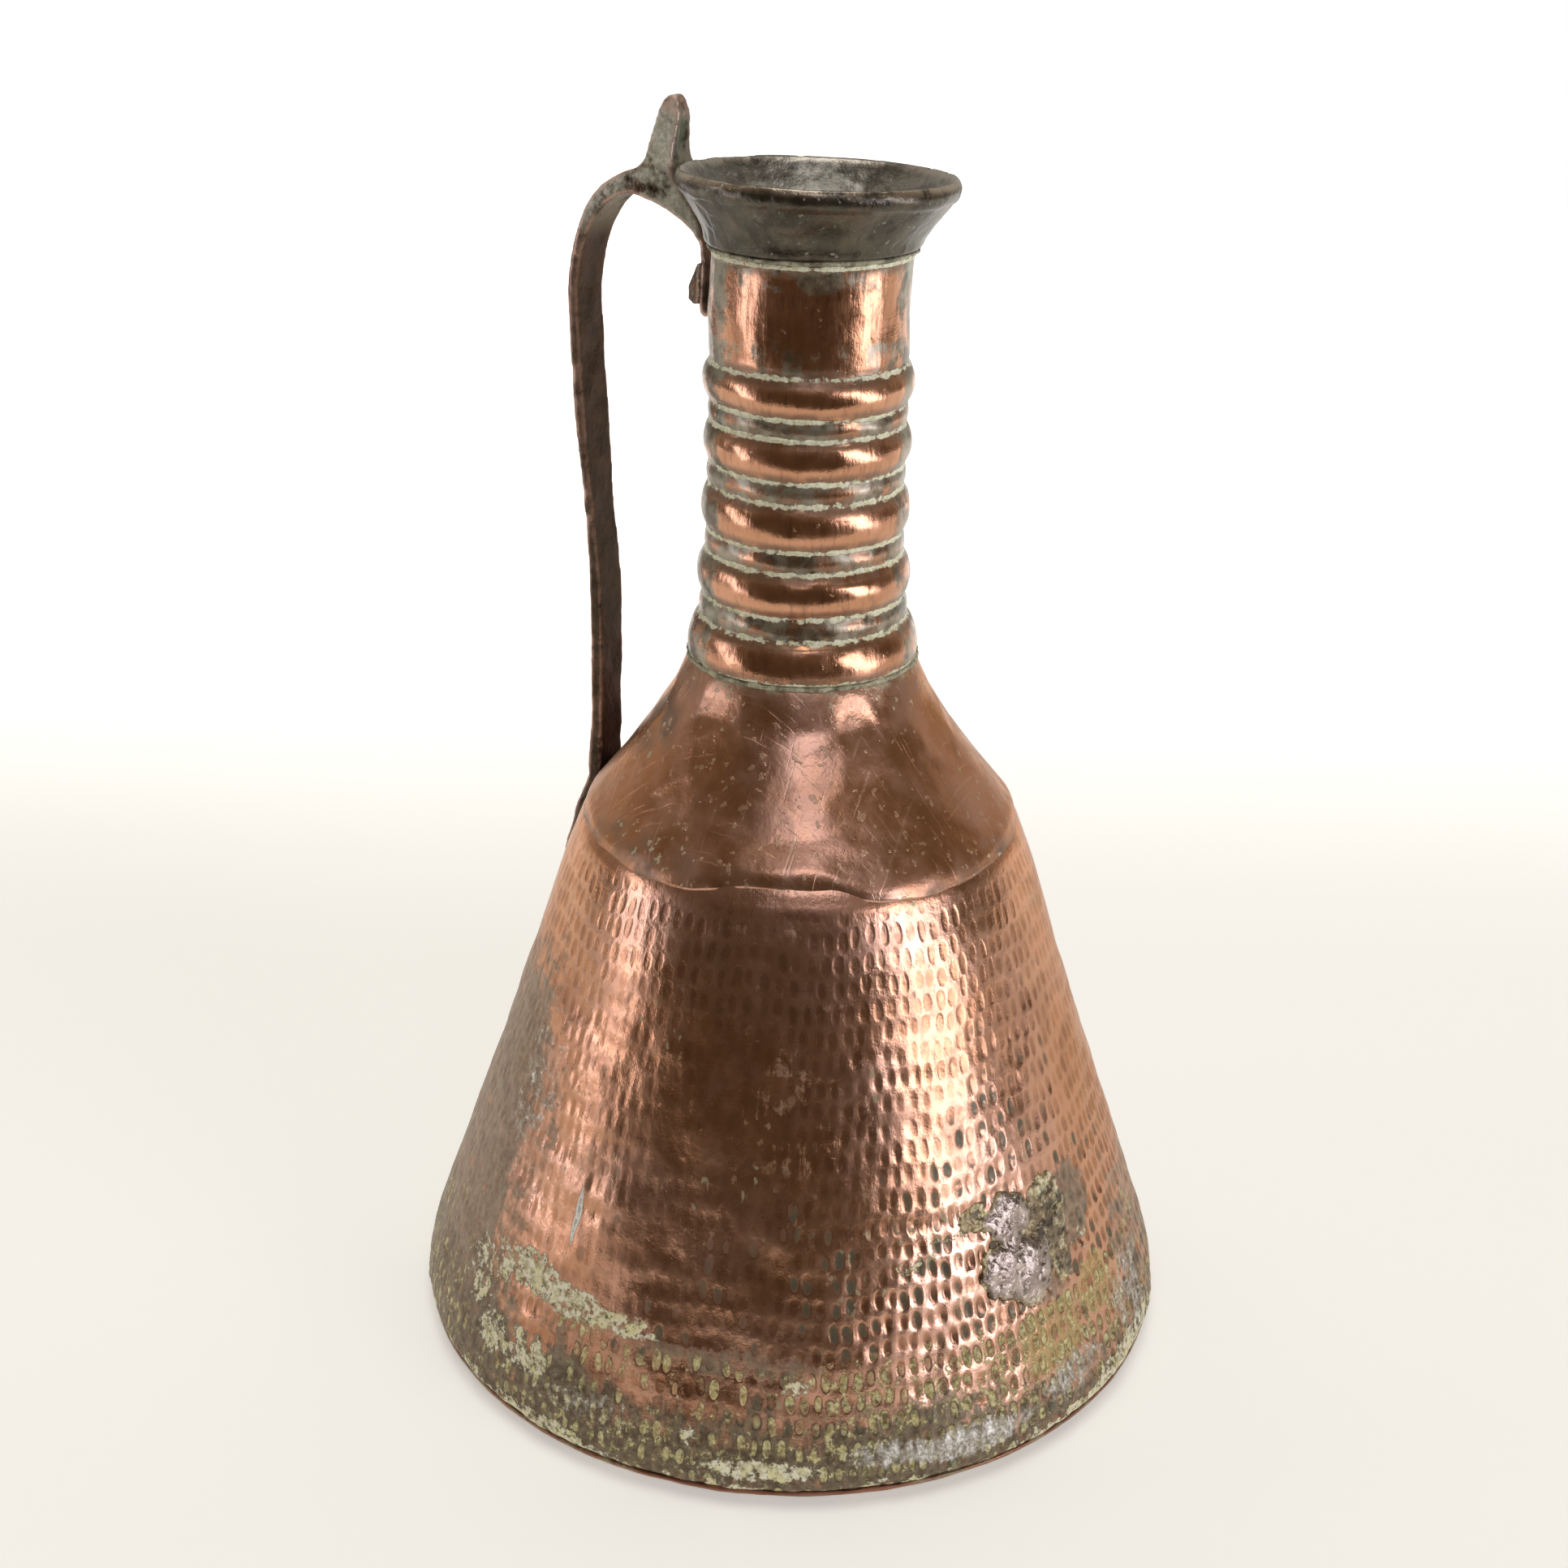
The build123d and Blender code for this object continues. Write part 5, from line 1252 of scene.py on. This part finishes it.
mats = dict(wall=wall_material(), shoulder=shoulder_material(), neck=neck_material(), collar=collar_material(),
            handle=handle_material(), rivet=rivet_material(), dark_rivet=rivet_material("neck_rivet_bronze", 0.85), solder=solder_material(), repair=repair_material(), pan=pan_material())
PIECES = [
    (base_pan, "pan", "base_pan", "base_copper"),
    (body_wall, "wall", "body_wall", "hammered_copper"),
    (shoulder, "shoulder", "shoulder_dome", "smooth_copper"),
    (neck, "neck", "neck_tube", "neck_copper"),
    (collar, "collar", "mouth_collar", "cast_bronze"),
    (handle, "handle", "handle", "forged_handle"),
    (neck_rivet, "dark_rivet", "neck_rivet", "forged_handle"),
    (neck_rove, "rivet", "neck_rivet_rove", "rivet_copper"),
    (foot_rivets, "rivet", "handle_foot_rivets", "rivet_copper"),
    (foot_roves, "rivet", "handle_foot_roves", "rivet_copper"),
    (base_solder, "solder", "base_seam_solder", "seam_solder"),
    (shoulder_solder, "solder", "shoulder_seam_solder", "seam_solder"),
    (neck_solder, "solder", "neck_seam_solder", "seam_solder"),
    (collar_solder, "solder", "collar_seam_solder", "seam_solder"),
    (repair, "repair", "repair_patch", "repair_solder"),
]
for ob, mat, node, slot_name in PIECES:
    ob.data.materials.clear()
    ob.data.materials.append(mats[mat])
    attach(ob, "root")
    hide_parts(node)

# ------------------------------------------------------------ floor and light
bpy.ops.mesh.primitive_circle_add(vertices=96, radius=1.25, fill_type="NGON", location=(0, 0, 0))
floor = bpy.context.active_object
floor.name = "floor"
back = Vector((BACK[0], BACK[1], 0.0))
for v in floor.data.vertices:
    along = v.co.dot(back)
    if along < -0.52:
        v.co += back * (-0.52 - along)
    if along > 0:
        v.co += back * along * 1.6
        v.co += Vector((RIGHT[0], RIGHT[1], 0)) * v.co.dot(Vector((RIGHT[0], RIGHT[1], 0))) * 0.9
fg = Graph("pale_table")
fx, fy, fz = fg.xyz()
depth = fg.add(fg.mul(fx, float(BACK[0])), fg.mul(fy, float(BACK[1])))
tone = fg.step(depth, 0.24, 0.98)
weave = fg.noise(900.0, 2.0, 0.5)
fcol = fg.mix(tone, (0.795, 0.798, 0.772), (0.93, 0.94, 0.93))
fcol = fg.mix(fg.mul(fg.noise(3.0, 3.0, 0.5), 0.10), fcol, (0.80, 0.75, 0.65))
fcol = fg.mix(fg.mul(weave, 0.05), fcol, (0.7, 0.68, 0.62))
fg.finish(fcol, 0.0, 0.75, fg.bump(fg.mul(weave, 0.00005), 0.6, 1.0), spec=0.25)
fg.bsdf.inputs["Emission Strength"].default_value = 0.455
fg.put(fg.bsdf.inputs["Emission Color"], fg.mix(tone, fcol, (1.6, 1.6, 1.6)))
floor.data.materials.append(fg.mat)

scene = bpy.context.scene
world = bpy.data.worlds.new("studio")
scene.world = world
world.use_nodes = True
wt = world.node_tree
wt.nodes.clear()


class WorldGraph(Graph):
    def __init__(self, tree):
        self.t = tree
        self.tc = tree.nodes.new("ShaderNodeTexCoord")
        self.obj = self.tc.outputs["Generated"]


w = WorldGraph(wt)
wx, wy, wz = w.xyz()
ang = w.mul(w.math("ARCTAN2", wy, wx), 180 / math.pi)
wphi = w.math("WRAP", w.sub(ang, math.degrees(FRONT)), 180.0, -180.0)
wel = w.mul(w.math("ARCSINE", w.math("MAXIMUM", w.math("MINIMUM", wz, 1.0), -1.0)), 180 / math.pi)


def box_light(p0, p1, e0, e1, soft_p, soft_e, level):
    a = w.mul(w.step(wphi, p0 - soft_p, p0 + soft_p), w.step(wphi, p1 + soft_p, p1 - soft_p))
    b = w.mul(w.step(wel, e0 - soft_e, e0 + soft_e), w.step(wel, e1 + soft_e, e1 - soft_e))
    return w.mul(w.mul(a, b), level)


aphi = w.math("ABSOLUTE", wphi)
room = w.mul(w.step(aphi, 96.0, 128.0), 0.42)                     # pale wall behind
front_dark = w.lin(wel, -90.0, 90.0, 0.075, 0.11)
ceiling = w.mul(w.step(wel, 62.0, 78.0), 2.5)
level_phi = wphi
wphi = w.add(level_phi, w.mul(w.add(wel, 12.0), 0.58))
left_soft = box_light(-79, -67, -24, 15, 3.5, 5, 4.2)
wphi = w.add(level_phi, w.mul(w.add(wel, 12.0), 0.85))
right_soft = box_light(61, 83, -22, 20, 4, 5, 5.2)
wphi = level_phi
key = box_light(-12, 28, 40, 51, 5, 3, 2.9)
left_fill = box_light(-135, -60, 10, 60, 18, 18, 0.10)
right_fill = box_light(40, 130, 5, 55, 18, 18, 0.08)
upper_front = box_light(-60, 60, 16, 40, 20, 8, 0.030)
lamps = w.add(w.add(left_soft, right_soft), key)
dim = w.add(front_dark, w.add(w.add(room, ceiling), w.add(upper_front, w.add(left_fill, right_fill))))
level = w.add(lamps, dim)
warm = w.mix(w.math("DIVIDE", lamps, level), w.mix(w.step(aphi, 90.0, 130.0), (1.0, 0.78, 0.50), (1.0, 0.92, 0.80)), (1.0, 1.02, 1.16))
warm = w.mix(w.mul(w.step(wel, 58.0, 74.0), 0.9), warm, (1.0, 0.985, 0.95))
bg = wt.nodes.new("ShaderNodeBackground")
w.put(bg.inputs["Color"], warm)
w.put(bg.inputs["Strength"], level)
plain = wt.nodes.new("ShaderNodeBackground")
plain.inputs["Color"].default_value = (1, 1, 1, 1)
plain.inputs["Strength"].default_value = 1.0
lp = wt.nodes.new("ShaderNodeLightPath")
ms = wt.nodes.new("ShaderNodeMixShader")
wt.links.new(lp.outputs["Is Camera Ray"], ms.inputs[0])
wt.links.new(bg.outputs[0], ms.inputs[1])
wt.links.new(plain.outputs[0], ms.inputs[2])
wo = wt.nodes.new("ShaderNodeOutputWorld")
wt.links.new(ms.outputs[0], wo.inputs[0])

scene.view_settings.view_transform = "Standard"
scene.view_settings.look = "None"
scene.view_settings.exposure = 0.0
scene.view_settings.gamma = 1.0

cam_data = bpy.data.cameras.new("photo_camera")
cam_data.sensor_width = 36.0
cam_data.sensor_fit = "HORIZONTAL"
cam_data.lens = 36.0 * 2700 / 1932
cam_data.clip_start = 0.02
cam = bpy.data.objects.new("photo_camera", cam_data)
scene.collection.objects.link(cam)
fwd = Vector((-0.39545497, 0.82634072, -0.40096931)).normalized()
up = Vector((-0.1898637, 0.35358088, 0.9159325))
right = fwd.cross(up).normalized()
up = right.cross(fwd)
m = Matrix((right, up, -fwd)).transposed().to_4x4()
m.translation = Vector((0.312317, -0.669766, 0.534242))
cam.matrix_world = m
scene.camera = cam
